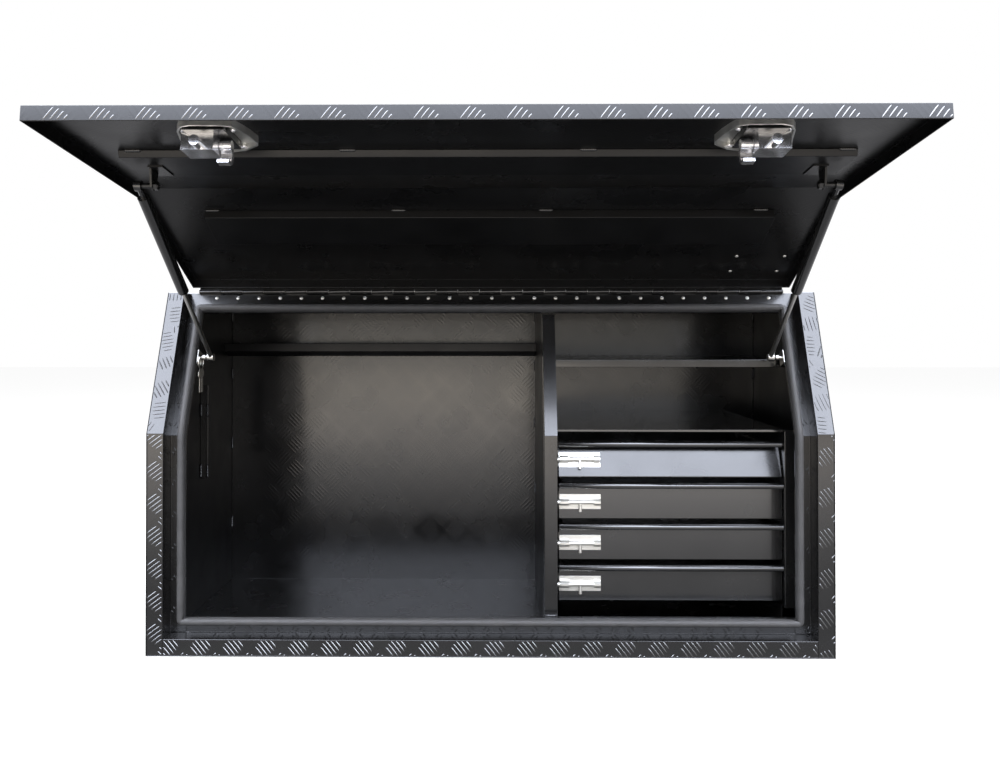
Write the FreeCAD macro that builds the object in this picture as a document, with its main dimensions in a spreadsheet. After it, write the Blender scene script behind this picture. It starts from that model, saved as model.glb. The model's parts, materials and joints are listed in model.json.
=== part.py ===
import FreeCAD, Part
import math
import os
import re
import Sketcher

# Steel toolbox with a cranked lift-up lid, a divided hold and four locking drawers.
# Millimetres. X runs along the width, +Y to the rear, +Z up.
# The origin is the middle of the underside. The lid is modelled open, as it stands at rest.

doc = FreeCAD.newDocument("DrawerToolbox")
sizes = doc.addObject("Spreadsheet::Sheet", "Sizes")
NAMES = set()
NODES = {}
PIECES = {}
CUTS = []
KNOWN = {}

# Driving sizes of the whole box
DRIVING = [
    ("width", 1200, "outside width"),
    ("depth", 480, "outside depth"),
    ("height", 640, "outside height"),
    ("fold", 388, "height of the bend in the front"),
    ("slope_depth", 98, "run of the sloped front from the bend to the top"),
    ("border", 30, "painted border round the recessed lid"),
    ("recess", 37, "depth of the recess that takes the lid"),
    ("skin", 2, "sheet thickness of the shell and the lid"),
    ("sheet", 1.5, "sheet thickness of the inner parts"),
    ("seal_wide", 13, "width of the sealing bulb"),
    ("seal_base", 17, "depth of the edge that the bulb is pushed onto"),
    ("seal_side", 27, "side bulb inside the wall of the recess"),
    ("seal_rise", 29, "lower bulb above the border"),
    ("seal_drop", 40.7, "upper bulb below the hinge axis"),
    ("seal_gap", 0.8, "bulb to closed lid"),
    ("lid_inset", 3, "lid face behind the border"),
    ("lid_side_gap", 3, "lid edge to the wall of the recess"),
    ("lid_foot_gap", 4, "lower edge of the closed lid above the border"),
    ("lid_flange", 20, "depth of the lid flange"),
    ("lid_end_gap", 0.1, "hinge edge of the lid below the hinge axis"),
    ("open_angle", 96.5, "travel of the lid"),
    ("hinge_rise", 6, "hinge axis above the floor of the recess"),
    ("hinge_above", 3.04, "hinge axis above the top of the box"),
    ("hinge_side", 14, "end of the hinge inside the lid edge"),
    ("hinge_leaf", 1.7, "thickness of a hinge leaf"),
    ("leaf_wide", 25.2, "width of the leaf on the box"),
    ("knuckle_r", 4, "radius of the hinge knuckles"),
    ("pin_r", 2.2, "radius of the hinge pin"),
    ("knuckle_gap", 0.6, "gap between neighbouring knuckles"),
    ("fit", 0.05, "radial clearance of every running fit"),
    ("post_x", 98.5, "left side of the divider post"),
    ("post_wide", 23, "width of the divider post"),
    ("post_deep", 50, "depth of the divider post"),
    ("cab_gap", 0.5, "drawer cabinet to the post"),
    ("cab_side", 62, "right side of the drawer cabinet inside the box"),
    ("cab_front", 72, "foremost plane of the cabinet behind the front"),
    ("cab_top", 388, "height of the cabinet top"),
    ("cab_lip", 4, "drop of the hem under the cabinet top"),
    ("cab_flange", 18, "width of the flange that ties the cabinet to the side"),
    ("cab_sheet", 2, "sheet thickness of the cabinet"),
    ("drawer_drop", 22.6, "top of the uppermost drawer below the cabinet top"),
    ("drawer_pitch", 74.7, "distance from drawer to drawer"),
    ("drawer_tall", 65.5, "height of a drawer front"),
    ("drawer_face", 82, "drawer face behind the front"),
    ("drawer_rear", 44, "rear of a drawer tray to the back wall"),
    ("drawer_lip", 9.5, "height of the rolled lip on a drawer"),
    ("tray_tall", 48, "height of a tray wall"),
    ("lean", 18, "how far the face of the uppermost drawer leans back"),
    ("drawer_edge", 2, "drawer front inside the cabinet sides"),
    ("slide_wide", 14, "width taken by a telescopic slide"),
    ("slide_tall", 35, "height of the fixed member of a slide"),
    ("slide_step", 4, "difference in height between slide members"),
    ("slide_gap", 0.5, "gap between slide members"),
    ("slide_short", 10, "how much shorter than the tray a slide is"),
    ("slide_start", 92, "front end of a slide behind the front"),
    ("bolt_drop", 35, "bolt axis below the top of its drawer"),
    ("plate_side", 5, "bolt plate inside the cabinet"),
    ("plate_gap", 0.02, "bolt plate to the drawer face"),
    ("bolt_plate_long", 76, "length of a bolt plate"),
    ("bolt_plate_tall", 27, "height of a bolt plate"),
    ("bolt_r", 4, "radius of a bolt"),
    ("bolt_rest", 0.7, "end of a resting bolt to the post"),
    ("bolt_long", 77, "length of a bolt"),
    ("hole_gap", 0.8, "clearance of a bolt in its hole"),
    ("knob_along", 38, "bolt knob along its plate"),
    ("knob_drop", 17.5, "reach of the knob below the bolt axis"),
    ("knob_r", 3, "radius of the knob"),
    ("shelf_drop", 125, "upper shelf below the top of the box"),
    ("shelf_front", 104, "front edge of the upper shelf behind the front"),
    ("shelf_lip", 14, "drop of the shelf lip"),
    ("ledge_drop", 97.5, "lip of the rear ledge below the top of the box"),
    ("ledge_lip", 18, "height of the lip of the rear ledge"),
    ("ledge_deep", 58, "depth of the rear ledge"),
    ("ledge_brace", 11, "drop of the brace under the rear ledge"),
    ("rib_y", 268, "side rib behind the front"),
    ("rib_foot", 266, "lower end of the side rib"),
    ("rib_head", 458, "upper end of the side rib"),
    ("rib_deep", 16, "how far the side rib stands off the wall"),
    ("pan_low_s", 191, "lower edge of the front pan below the lid bend"),
    ("pan_high_s", 98, "upper edge of the front pan below the lid bend"),
    ("pan_side", 48, "end of the front pan inside the lid edge"),
    ("pan_deep", 10, "depth of the front pan"),
    ("pan_slant", 4, "slant of the pan sides"),
    ("top_pan_from", 60, "lower edge of the upper pan above the lid bend"),
    ("top_pan_to", 148, "upper edge of the upper pan above the lid bend"),
    ("top_pan_side", 88, "end of the upper pan inside the lid edge"),
    ("top_pan_deep", 13, "depth of the upper pan"),
    ("lock_side", 208.5, "middle of a lock inside the lid edge"),
    ("lock_s", 261, "middle of a lock below the lid bend"),
    ("ring_tall", 10, "height of the clamp ring"),
    ("ring_base", 2, "thickness of the base of the clamp ring"),
    ("ring_wall", 3, "wall of the clamp ring"),
    ("boss_r", 4.5, "radius of a screw boss in the clamp ring"),
    ("boss_tall", 6, "height of a screw boss"),
    ("dish_deep", 12, "depth of the handle dish behind the lid sheet"),
    ("dish_wall", 1.6, "wall of the handle dish"),
    ("dish_rim", 1.5, "thickness of the dish rim on the lid face"),
    ("dish_in", 26, "inboard reach of the handle dish from the lock middle"),
    ("dish_out", 28, "outboard reach of the handle dish"),
    ("dish_up", 33, "reach of the handle dish towards the hinge"),
    ("dish_down", 44, "reach of the handle dish towards the free edge"),
    ("dish_gap", 0.5, "handle dish to the lid, to the ring and to the handle"),
    ("handle_gap", 4, "handle plate to the wall of the dish"),
    ("axle_up", 23, "handle axle above the lock middle"),
    ("axle_r", 3, "radius of the handle axle"),
    ("case_tall", 22, "height of the lock case on the dish"),
    ("barrel_r", 6.8, "radius of the key barrel"),
    ("claw_r", 4, "radius of the claw pivot"),
    ("claw_hub", 7.2, "radius of the claw hub"),
    ("claw_off", 8, "claw pivot off the dish"),
    ("strut_side", 54, "gas strut inside the lid edge"),
    ("ball_u", 151.55, "lower strut ball up the slope"),
    ("ball_d", 26.9, "lower strut ball under the sloped face"),
    ("ball_side", 12, "lower ball outboard of the strut"),
    ("ball_up_s", 130, "upper strut pivot below the lid bend"),
    ("ball_up_off", 34, "upper strut pivot off the lid skin"),
    ("strut_r", 9, "radius of the strut cylinder"),
    ("strut_rod_r", 4, "radius of the strut rod"),
    ("strut_tube_from", 22, "pivot to the near end of the strut cylinder"),
    ("strut_tube_to", 232, "pivot to the far end of the strut cylinder"),
    ("strut_rod_long", 212, "length of the strut rod"),
    ("eye_r", 8, "radius of a strut eye"),
    ("stud_r", 4, "radius of a strut stud"),
    ("ball_r", 5, "radius of the lower strut ball"),
    ("key_long", 50, "length of a key"),
    ("ring_r", 13, "radius of the key ring"),
    ("ring_wire", 0.9, "radius of the key ring wire"),
]

# Sizes that follow from the driving ones
DERIVED = [
    ("half_width", "width / 2"),
    ("half_depth", "depth / 2"),
    ("slope_len", "sqrt(slope_depth * slope_depth + (height - fold) * (height - fold))"),
    ("tz", "(height - fold) / slope_len"),
    ("ty", "slope_depth / slope_len"),
    ("slope_angle", "acos(ty) / (1 deg)"),
    ("fold_shift", "(1 - tz) / ty"),
    ("open_x", "half_width - border"),
    ("lid_half", "open_x - lid_side_gap"),
    ("lid_in", "lid_inset + skin"),
    ("lid_fold", "fold - lid_in * fold_shift"),
    ("lid_foot", "border + lid_foot_gap"),
    ("hinge_d", "recess - hinge_rise"),
    ("hinge_z", "height + hinge_above"),
    ("hinge_u", "(hinge_z - fold + hinge_d * ty) / tz"),
    ("hinge_y", "hinge_u * ty + hinge_d * tz - half_depth"),
    ("lid_end", "hinge_u - lid_end_gap"),
    ("seal_x", "open_x - seal_side"),
    ("seal_z", "border + seal_rise"),
    ("seal_u", "hinge_u - seal_drop"),
    ("hinge_long", "2 * (lid_half - hinge_side)"),
    ("pan_half", "lid_half - pan_side"),
    ("top_pan_half", "lid_half - top_pan_side"),
    ("lock_x", "lid_half - lock_side"),
    ("strut_x", "lid_half - strut_side"),
    ("ball_low_x", "strut_x + ball_side"),
    ("stud_y", "ball_u * ty + ball_d * tz - half_depth"),
    ("stud_z", "fold + ball_u * tz - ball_d * ty"),
    ("cab_left", "post_x + post_wide + cab_gap"),
    ("cab_right", "half_width - cab_side"),
    ("drawer_first", "cab_top - drawer_drop"),
    ("drawer_long", "depth - skin - drawer_face - cab_sheet - drawer_rear"),
    ("slide_long", "drawer_long - slide_short"),
    ("bolt_plate_left", "cab_left + plate_side"),
    ("knob_x", "bolt_plate_left + knob_along"),
    ("shelf_z", "height - shelf_drop"),
    ("ledge_z", "height - ledge_drop"),
    ("co", "cos(open_angle * 1 deg)"),
    ("si", "sin(open_angle * 1 deg)"),
    ("lid_y", "hinge_y - co * hinge_y - si * hinge_z"),
    ("lid_z", "hinge_z + si * hinge_y - co * hinge_z"),
    ("knuckle_pitch", "hinge_long / 27"),
    ("up_y_shut", "lid_in + ball_up_off - half_depth"),
    ("up_z_shut", "lid_fold - ball_up_s"),
    ("up_y", "lid_y + co * up_y_shut + si * up_z_shut"),
    ("up_z", "lid_z - si * up_y_shut + co * up_z_shut"),
    ("strut_open", "sqrt((stud_y - up_y) * (stud_y - up_y) + (stud_z - up_z) * (stud_z - up_z))"),
    ("strut_turn", "acos((stud_z - up_z) / strut_open) / (1 deg)"),
    ("tray_left", "cab_left + cab_sheet + slide_wide"),
    ("tray_right", "cab_right - cab_sheet - slide_wide"),
    ("lean_run", "drawer_tall - drawer_lip - 2"),
    ("lean_angle", "atan(lean / lean_run) / (1 deg)"),
    ("lean_at", "lean * (drawer_tall - bolt_drop - 2) / lean_run"),
]

row = 0
for alias, value, note in DRIVING:
    row += 1
    sizes.set("A%d" % row, alias)
    sizes.set("B%d" % row, str(value))
    sizes.set("C%d" % row, note)
    sizes.setAlias("B%d" % row, alias)
    NAMES.add(alias)
for alias, formula in DERIVED:
    row += 1
    sizes.set("A%d" % row, alias)
    sizes.set("B%d" % row, "=" + formula)
    sizes.setAlias("B%d" % row, alias)
    NAMES.add(alias)
doc.recompute()


def bind(text):
    """Expression text with every size name pointed at the sheet."""
    return re.sub(r"[a-z_]+", lambda m: "Sizes." + m.group(0) if m.group(0) in NAMES else m.group(0), text)


def number(text):
    """Value of an expression, worked out by the sheet itself."""
    if text not in KNOWN:
        sizes.set("E1", "=" + text)
        sizes.recompute()
        KNOWN[text] = float(getattr(sizes.get("E1"), "Value", sizes.get("E1")))
    return KNOWN[text]


def node(name):
    """New body for one piece."""
    body = doc.addObject("PartDesign::Body", name)
    body.Label = name
    NODES[name] = body
    return body


def new_sketch(body, plane, start):
    """Empty sketch on an origin plane of the body, moved along its normal."""
    sketch = body.newObject("Sketcher::SketchObject", body.Name + "_outline")
    origin = [f for f in body.Origin.OriginFeatures if f.Role == plane + "_Plane"][0]
    sketch.AttachmentSupport = [(origin, "")]
    sketch.MapMode = "FlatFace"
    sketch.setExpression("AttachmentOffset.Base.z", bind(start))
    return sketch


def pin(sketch, kind, edge, end, text):
    """Dimension from the sketch origin to one end of an edge."""
    index = sketch.addConstraint(Sketcher.Constraint(kind, -1, 1, edge, end, number(text)))
    sketch.setExpression("Constraints[%d]" % index, bind(text))


def draw_lines(sketch, points):
    """Closed outline through the given corners, every corner dimensioned."""
    places = [FreeCAD.Vector(number(x), number(y), 0) for x, y in points]
    first = sketch.GeometryCount
    count = len(places)
    for i in range(count):
        sketch.addGeometry(Part.LineSegment(places[i], places[(i + 1) % count]), False)
    for i in range(count):
        joint = Sketcher.Constraint("Coincident", first + i, 2, first + (i + 1) % count, 1)
        sketch.addConstraint(joint)
    for i, (x, y) in enumerate(points):
        pin(sketch, "DistanceX", first + i, 1, x)
        pin(sketch, "DistanceY", first + i, 1, y)


def draw_circle(sketch, centre, radius):
    """Circle with its centre and radius dimensioned."""
    x, y = centre
    middle = FreeCAD.Vector(number(x), number(y), 0)
    edge = sketch.addGeometry(Part.Circle(middle, FreeCAD.Vector(0, 0, 1), number(radius)), False)
    pin(sketch, "DistanceX", edge, 3, x)
    pin(sketch, "DistanceY", edge, 3, y)
    index = sketch.addConstraint(Sketcher.Constraint("Radius", edge, number(radius)))
    sketch.setExpression("Constraints[%d]" % index, bind(radius))


def start_of(plane, low, high):
    """Sketch offset that makes the solid run from low to high along the plane's axis."""
    if plane == "XZ":
        return "-(%s)" % high
    return low


def extrude(body, plane, low, high, outlines, circles, removing):
    """Pad or pocket between two positions along the axis square to the plane."""
    sketch = new_sketch(body, plane, start_of(plane, low, high))
    for points in outlines:
        draw_lines(sketch, points)
    for centre, radius in circles:
        draw_circle(sketch, centre, radius)
    kind = "PartDesign::Pocket" if removing else "PartDesign::Pad"
    before = body.Tip
    feature = body.newObject(kind, body.Name + ("_cut" if removing else "_pad"))
    feature.Profile = sketch
    feature.setExpression("Length", bind("(%s) - (%s)" % (high, low)))
    if removing:
        feature.Reversed = True
        CUTS.append((feature, before))
    body.Tip = feature
    return feature


def add(body, plane, low, high, *outlines):
    """Solid between two positions from closed outlines."""
    return extrude(body, plane, low, high, outlines, [], False)


def cut(body, plane, low, high, *outlines):
    """Opening between two positions from closed outlines."""
    return extrude(body, plane, low, high, outlines, [], True)


def add_round(body, plane, low, high, *circles):
    """Round solid between two positions."""
    return extrude(body, plane, low, high, [], circles, False)


def cut_round(body, plane, low, high, *circles):
    """Round opening between two positions."""
    return extrude(body, plane, low, high, [], circles, True)


def turn(body, plane, points):
    """Solid of revolution about the horizontal axis of a sketch plane."""
    sketch = new_sketch(body, plane, "0")
    draw_lines(sketch, points)
    feature = body.newObject("PartDesign::Revolution", body.Name + "_turn")
    feature.Profile = sketch
    feature.ReferenceAxis = (sketch, ["H_Axis"])
    feature.Angle = 360
    body.Tip = feature
    return feature


def repeat(body, features, step, count):
    """Row of features along X."""
    doc.recompute()
    row_feature = body.newObject("PartDesign::LinearPattern", body.Name + "_row")
    row_feature.Originals = features
    axis = [f for f in body.Origin.OriginFeatures if f.Role == "X_Axis"][0]
    row_feature.Direction = (axis, [""])
    row_feature.Occurrences = count
    row_feature.setExpression("Length", bind("(%s) * %d" % (step, count - 1)))
    body.Tip = row_feature
    row_feature.Occurrences = count
    return row_feature


def place(body, turn_text, axis_sign, x, y, z):
    """Piece turned about X and moved, driven by the sheet."""
    axis = FreeCAD.Vector(axis_sign, 0, 0)
    base = FreeCAD.Vector(number(x), number(y), number(z))
    body.Placement = FreeCAD.Placement(base, FreeCAD.Rotation(axis, number(turn_text)))
    if bind(turn_text) != turn_text:
        body.setExpression("Placement.Rotation.Angle", bind(turn_text))
    body.setExpression("Placement.Base.x", bind(x))
    body.setExpression("Placement.Base.y", bind(y))
    body.setExpression("Placement.Base.z", bind(z))


def on_lid(body):
    """Piece drawn on the closed lid and carried to the open one."""
    place(body, "open_angle", -1, "0", "lid_y", "lid_z")


def at(text):
    """Position behind the front plane as a Y coordinate."""
    return "(%s) - half_depth" % text


def rect(x0, x1, y0, y1):
    """Corners of a rectangle."""
    return [(x0, y0), (x1, y0), (x1, y1), (x0, y1)]


def box_yz(y0, y1, z0, z1):
    """Rectangle in the YZ plane with its Y taken from the front."""
    return rect(at(y0), at(y1), z0, z1)


def on_slope(u, d):
    """Point u up the slope from the bend and d under the sloped face."""
    return ("(%s) * ty + (%s) * tz - half_depth" % (u, d), "fold + (%s) * tz - (%s) * ty" % (u, d))


def slope_y(d, z):
    """Y where the plane d under the sloped face passes the height z."""
    return "((%s) + ty * ((%s) - fold)) / tz - half_depth" % (d, z)


def bend(d):
    """Corner of the bend at depth d under the front."""
    return (at(d), "fold - (%s) * fold_shift" % d)


def strip(d0, d1, foot, head):
    """Cranked band between two depths, cut level at the height head."""
    upper = [(slope_y(d0, head), head), (slope_y(d1, head), head)]
    return [(at(d0), foot), bend(d0)] + upper + [bend(d1), (at(d1), foot)]


def strip_u(d0, d1, foot, end):
    """Cranked band between two depths, cut square to the slope at the distance end."""
    return [(at(d0), foot), bend(d0), on_slope(end, d0), on_slope(end, d1), bend(d1), (at(d1), foot)]


def slab(u0, u1, d0, d1):
    """Rectangle square to the slope."""
    return [on_slope(u0, d0), on_slope(u1, d0), on_slope(u1, d1), on_slope(u0, d1)]


def side(sign, inner, outer):
    """Low and high ends of a span that is mirrored to the left."""
    if sign > 0:
        return inner, outer
    return "-(%s)" % outer, "-(%s)" % inner


def facets(y, z, corner, count):
    """Regular outline with flats, its corners at the given distance from the middle."""
    points = []
    for k in range(count):
        turned = math.radians(360 * (k + 0.5) / count)
        points.append(("(%s) + (%s) * %.6f" % (y, corner, math.cos(turned)),
                       "(%s) + (%s) * %.6f" % (z, corner, math.sin(turned))))
    return points


SIDES = (("left", -1), ("right", 1))

# Shell: floor, back and top in one folded sheet
shell = node("body_shell")
add(shell, "YZ", "skin - half_width", "half_width - skin", [
    (at("0"), "0"),
    (at("depth"), "0"),
    (at("depth"), "height"),
    (slope_y("recess + skin", "height"), "height"),
    (slope_y("recess + skin", "height - skin"), "height - skin"),
    (at("depth - skin"), "height - skin"),
    (at("depth - skin"), "skin"),
    (at("0"), "skin"),
])

# Side panels with the cranked front edge
for label, sign in SIDES:
    panel = node("side_panel_" + label)
    low, high = side(sign, "half_width - skin", "half_width")
    add(panel, "YZ", low, high, [
        (at("0"), "0"),
        (at("depth"), "0"),
        (at("depth"), "height"),
        (at("slope_depth"), "height"),
        (at("0"), "fold"),
    ])

# Side frames: border, wall of the recess, floor of the recess and upstand for the seal
for label, sign in SIDES:
    frame = node("frame_" + label)
    low, high = side(sign, "open_x", "half_width - skin")
    add(frame, "YZ", low, high, strip("0", "skin", "skin", "height"))
    low, high = side(sign, "open_x", "open_x + skin")
    add(frame, "YZ", low, high, strip("0", "recess + skin", "skin", "height"))
    low, high = side(sign, "seal_x - skin / 2", "open_x + skin")
    add(frame, "YZ", low, high, strip("recess", "recess + skin", "border", "height"))
    low, high = side(sign, "seal_x - skin / 2", "seal_x + skin / 2")
    add(frame, "YZ", low, high, strip_u("seal_base", "recess + skin", "seal_z - skin / 2", "seal_u + skin / 2"))

# Lower frame: border, ledge of the recess, floor and upstand
frame = node("frame_bottom")
add(frame, "YZ", "-open_x", "open_x", box_yz("0", "skin", "skin", "border"))
add(frame, "YZ", "-open_x", "open_x", box_yz("0", "recess + skin", "border - skin", "border"))
low, high = "skin / 2 - seal_x", "seal_x - skin / 2"
add(frame, "YZ", low, high, box_yz("recess", "recess + skin", "border - skin", "seal_z + skin / 2"))
add(frame, "YZ", low, high, box_yz("seal_base", "recess + skin", "seal_z - skin / 2", "seal_z + skin / 2"))

# Upper frame: hinge flange and upstand
frame = node("frame_top")
add(frame, "YZ", low, high, [
    on_slope("seal_u - skin / 2", "recess"),
    on_slope("seal_u - skin / 2", "recess + skin"),
    (slope_y("recess + skin", "height"), "height"),
    (slope_y("recess", "height"), "height"),
])
add(frame, "YZ", low, high, slab("seal_u - skin / 2", "seal_u + skin / 2", "seal_base", "recess + skin"))

# Sealing bulb pushed onto the upstand all round the opening
seal = node("door_seal")
crest = "lid_in + seal_gap"
half = "seal_wide / 2"
for label, sign in SIDES:
    low, high = side(sign, "seal_x - " + half, "seal_x + " + half)
    add(seal, "YZ", low, high, strip_u(crest, "seal_base", "seal_z - " + half, "seal_u + " + half))
    if sign < 0:
        low, high = "-seal_x", "seal_x"
        add(seal, "YZ", low, high, box_yz(crest, "seal_base", "seal_z - " + half, "seal_z + " + half))
        add(seal, "YZ", low, high, slab("seal_u - " + half, "seal_u + " + half, crest, "seal_base"))

# Piano hinge, drawn about its own axis with Y up the slope and Z out of it
KNUCKLES = 27
for label, sign, first, count in (("box", -1, 0, 14), ("lid", 1, 1, 13)):
    leaf = node("hinge_leaf_" + label)
    ends = ("-hinge_long / 2", "hinge_long / 2")
    from_x = "knuckle_pitch * %d - hinge_long / 2 + knuckle_gap / 2" % first
    to_x = "knuckle_pitch * %d - hinge_long / 2 - knuckle_gap / 2" % (first + 1)
    if label == "box":
        add(leaf, "YZ", ends[0], ends[1], rect("-leaf_wide", "0", "-hinge_rise", "hinge_leaf - hinge_rise"))
        web = rect("-knuckle_r", "0", "-hinge_rise", "0")
    else:
        add(leaf, "YZ", ends[0], ends[1], rect("0", "hinge_leaf", "knuckle_r + knuckle_gap", "26"))
        web = rect("0", "hinge_leaf", "0", "knuckle_r + 2")
    barrel = add(leaf, "YZ", from_x, to_x, facets("0", "0", "knuckle_r", 10))
    foot = add(leaf, "YZ", from_x, to_x, web)
    repeat(leaf, [barrel, foot], "knuckle_pitch * 2", count)
    cut(leaf, "YZ", ends[0], ends[1], facets("0", "0", "(pin_r + fit) / cos(180 deg / 8)", 8))
    if label == "box":
        place(leaf, "slope_angle", 1, "0", "hinge_y", "hinge_z")
    else:
        place(leaf, "open_angle - slope_angle", -1, "0", "hinge_y", "hinge_z")

pin_body = node("hinge_pin")
add_round(pin_body, "YZ", "-hinge_long / 2", "hinge_long / 2", (("0", "0"), "pin_r"))
place(pin_body, "slope_angle", 1, "0", "hinge_y", "hinge_z")

# Divider: a channel post behind the opening and a panel back to the rear wall
post = node("divider_post")
front = "recess + skin"
back = "recess + skin + post_deep"
ceiling = "height - skin"
add(post, "YZ", "post_x", "post_x + post_wide", strip(front, back, "skin", ceiling))
inner = strip(front + " + skin", back, "skin", ceiling)
cut(post, "YZ", "post_x + skin", "post_x + post_wide - skin", inner)
for i in range(4):
    height_i = "drawer_first - drawer_pitch * %d - bolt_drop" % i
    depth_i = "drawer_face - bolt_r - 2"
    if i == 0:
        height_i += " + (bolt_r + 2) * sin(lean_angle * 1 deg)"
        depth_i = "drawer_face + lean_at - (bolt_r + 2) * cos(lean_angle * 1 deg)"
    mid_y = at(depth_i)
    reach = "(bolt_r + hole_gap)"
    cut(post, "YZ", "post_x + post_wide - skin", "post_x + post_wide",
        rect(mid_y + " - " + reach, mid_y + " + " + reach, height_i + " - " + reach, height_i + " + " + reach))

panel = node("divider_panel")
add(panel, "YZ", "post_x", "post_x + skin", [
    (at(back), "skin"),
    bend(back),
    (slope_y(back, ceiling), ceiling),
    (at("depth - skin"), ceiling),
    (at("depth - skin"), "skin"),
])

# Upper shelf over the drawers and the rear ledge of the open hold
shelf = node("upper_shelf")
low, high = "post_x + post_wide", "half_width - skin"
add(shelf, "YZ", low, high, box_yz("shelf_front", "depth - skin", "shelf_z - sheet", "shelf_z"))
add(shelf, "YZ", low, high, box_yz("shelf_front", "shelf_front + sheet", "shelf_z - shelf_lip", "shelf_z"))

ledge = node("rear_ledge")
edge = "depth - skin - ledge_deep"
floor = "ledge_z - ledge_lip"
low, high = "skin - half_width", "post_x"
add(ledge, "YZ", low, high, box_yz(edge, "depth - skin", floor, floor + " + sheet"))
add(ledge, "YZ", low, high, box_yz(edge, edge + " + sheet", floor, "ledge_z"))
add(ledge, "YZ", low, high, [
    (at(edge), floor),
    (at(edge), floor + " + sheet"),
    (at(edge + " + 3 * ledge_brace"), floor + " - ledge_brace + sheet"),
    (at(edge + " + 3 * ledge_brace"), floor + " - ledge_brace"),
])

# Angle rib on the left side
rib = node("side_rib_left")
wall = "skin - half_width"
add(rib, "XY", "rib_foot", "rib_head", rect(wall, wall + " + rib_deep", at("rib_y"), at("rib_y + skin")))
add(rib, "XY", "rib_foot", "rib_head", rect(wall, wall + " + skin", at("rib_y"), at("rib_y + rib_deep")))

# Drawer cabinet: folded top, two sides, flange to the box side and fixed slide members
cabinet = node("drawer_cabinet")
rear = "depth - skin"
under = "cab_top - cab_sheet"
add(cabinet, "YZ", "cab_left", "cab_right", box_yz("cab_front", rear, under, "cab_top"))
add(cabinet, "YZ", "cab_left", "cab_right",
    box_yz("cab_front", "cab_front + sheet", "cab_top - cab_lip", "cab_top"))
side_front = "slide_start"
for low, high in (("cab_left", "cab_left + cab_sheet"), ("cab_right - cab_sheet", "cab_right")):
    add(cabinet, "YZ", low, high, box_yz(side_front, rear, "skin", "cab_top"))
add(cabinet, "YZ", "cab_right - cab_sheet", "cab_right", box_yz("cab_front", side_front, "seal_z + 6", "cab_top"))
add(cabinet, "YZ", "cab_right - cab_sheet", "cab_right + cab_flange",
    box_yz("cab_front", "cab_front + cab_sheet", "seal_z + 6", "cab_top"))


def slide_profile(sign, step, web_gap, deep, foot):
    """Channel of a slide member, step members in from the cabinet side."""
    tall = "(slide_tall - slide_step * %d)" % step
    base = foot + " + slide_step * %d / 2" % step
    wall_x = "cab_left + cab_sheet" if sign < 0 else "cab_right - cab_sheet"
    way = "+" if sign < 0 else "-"
    x0 = "%s %s (%s)" % (wall_x, way, web_gap)
    x1 = "%s %s (%s + sheet)" % (wall_x, way, web_gap)
    x2 = "%s %s (%s)" % (wall_x, way, deep)
    return [(x0, base), (x2, base), (x2, base + " + sheet"), (x1, base + " + sheet"),
            (x1, base + " + " + tall + " - sheet"), (x2, base + " + " + tall + " - sheet"),
            (x2, base + " + " + tall), (x0, base + " + " + tall)]


slide_low = []
slide_from = []
for i in range(4):
    slide_low.append("drawer_first - drawer_pitch * %d - drawer_tall / 2 - slide_tall / 2 - 2" % i)
    slide_from.append("slide_start + lean" if i == 0 else "slide_start")
for sign in (-1, 1):
    outlines = [slide_profile(sign, 0, "0", "slide_wide - 3", foot) for foot in slide_low]
    add(cabinet, "XZ", at(slide_from[0]), at(slide_from[0] + " + slide_long"), outlines[0])
    add(cabinet, "XZ", at(slide_from[1]), at(slide_from[1] + " + slide_long"), *outlines[1:])

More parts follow.
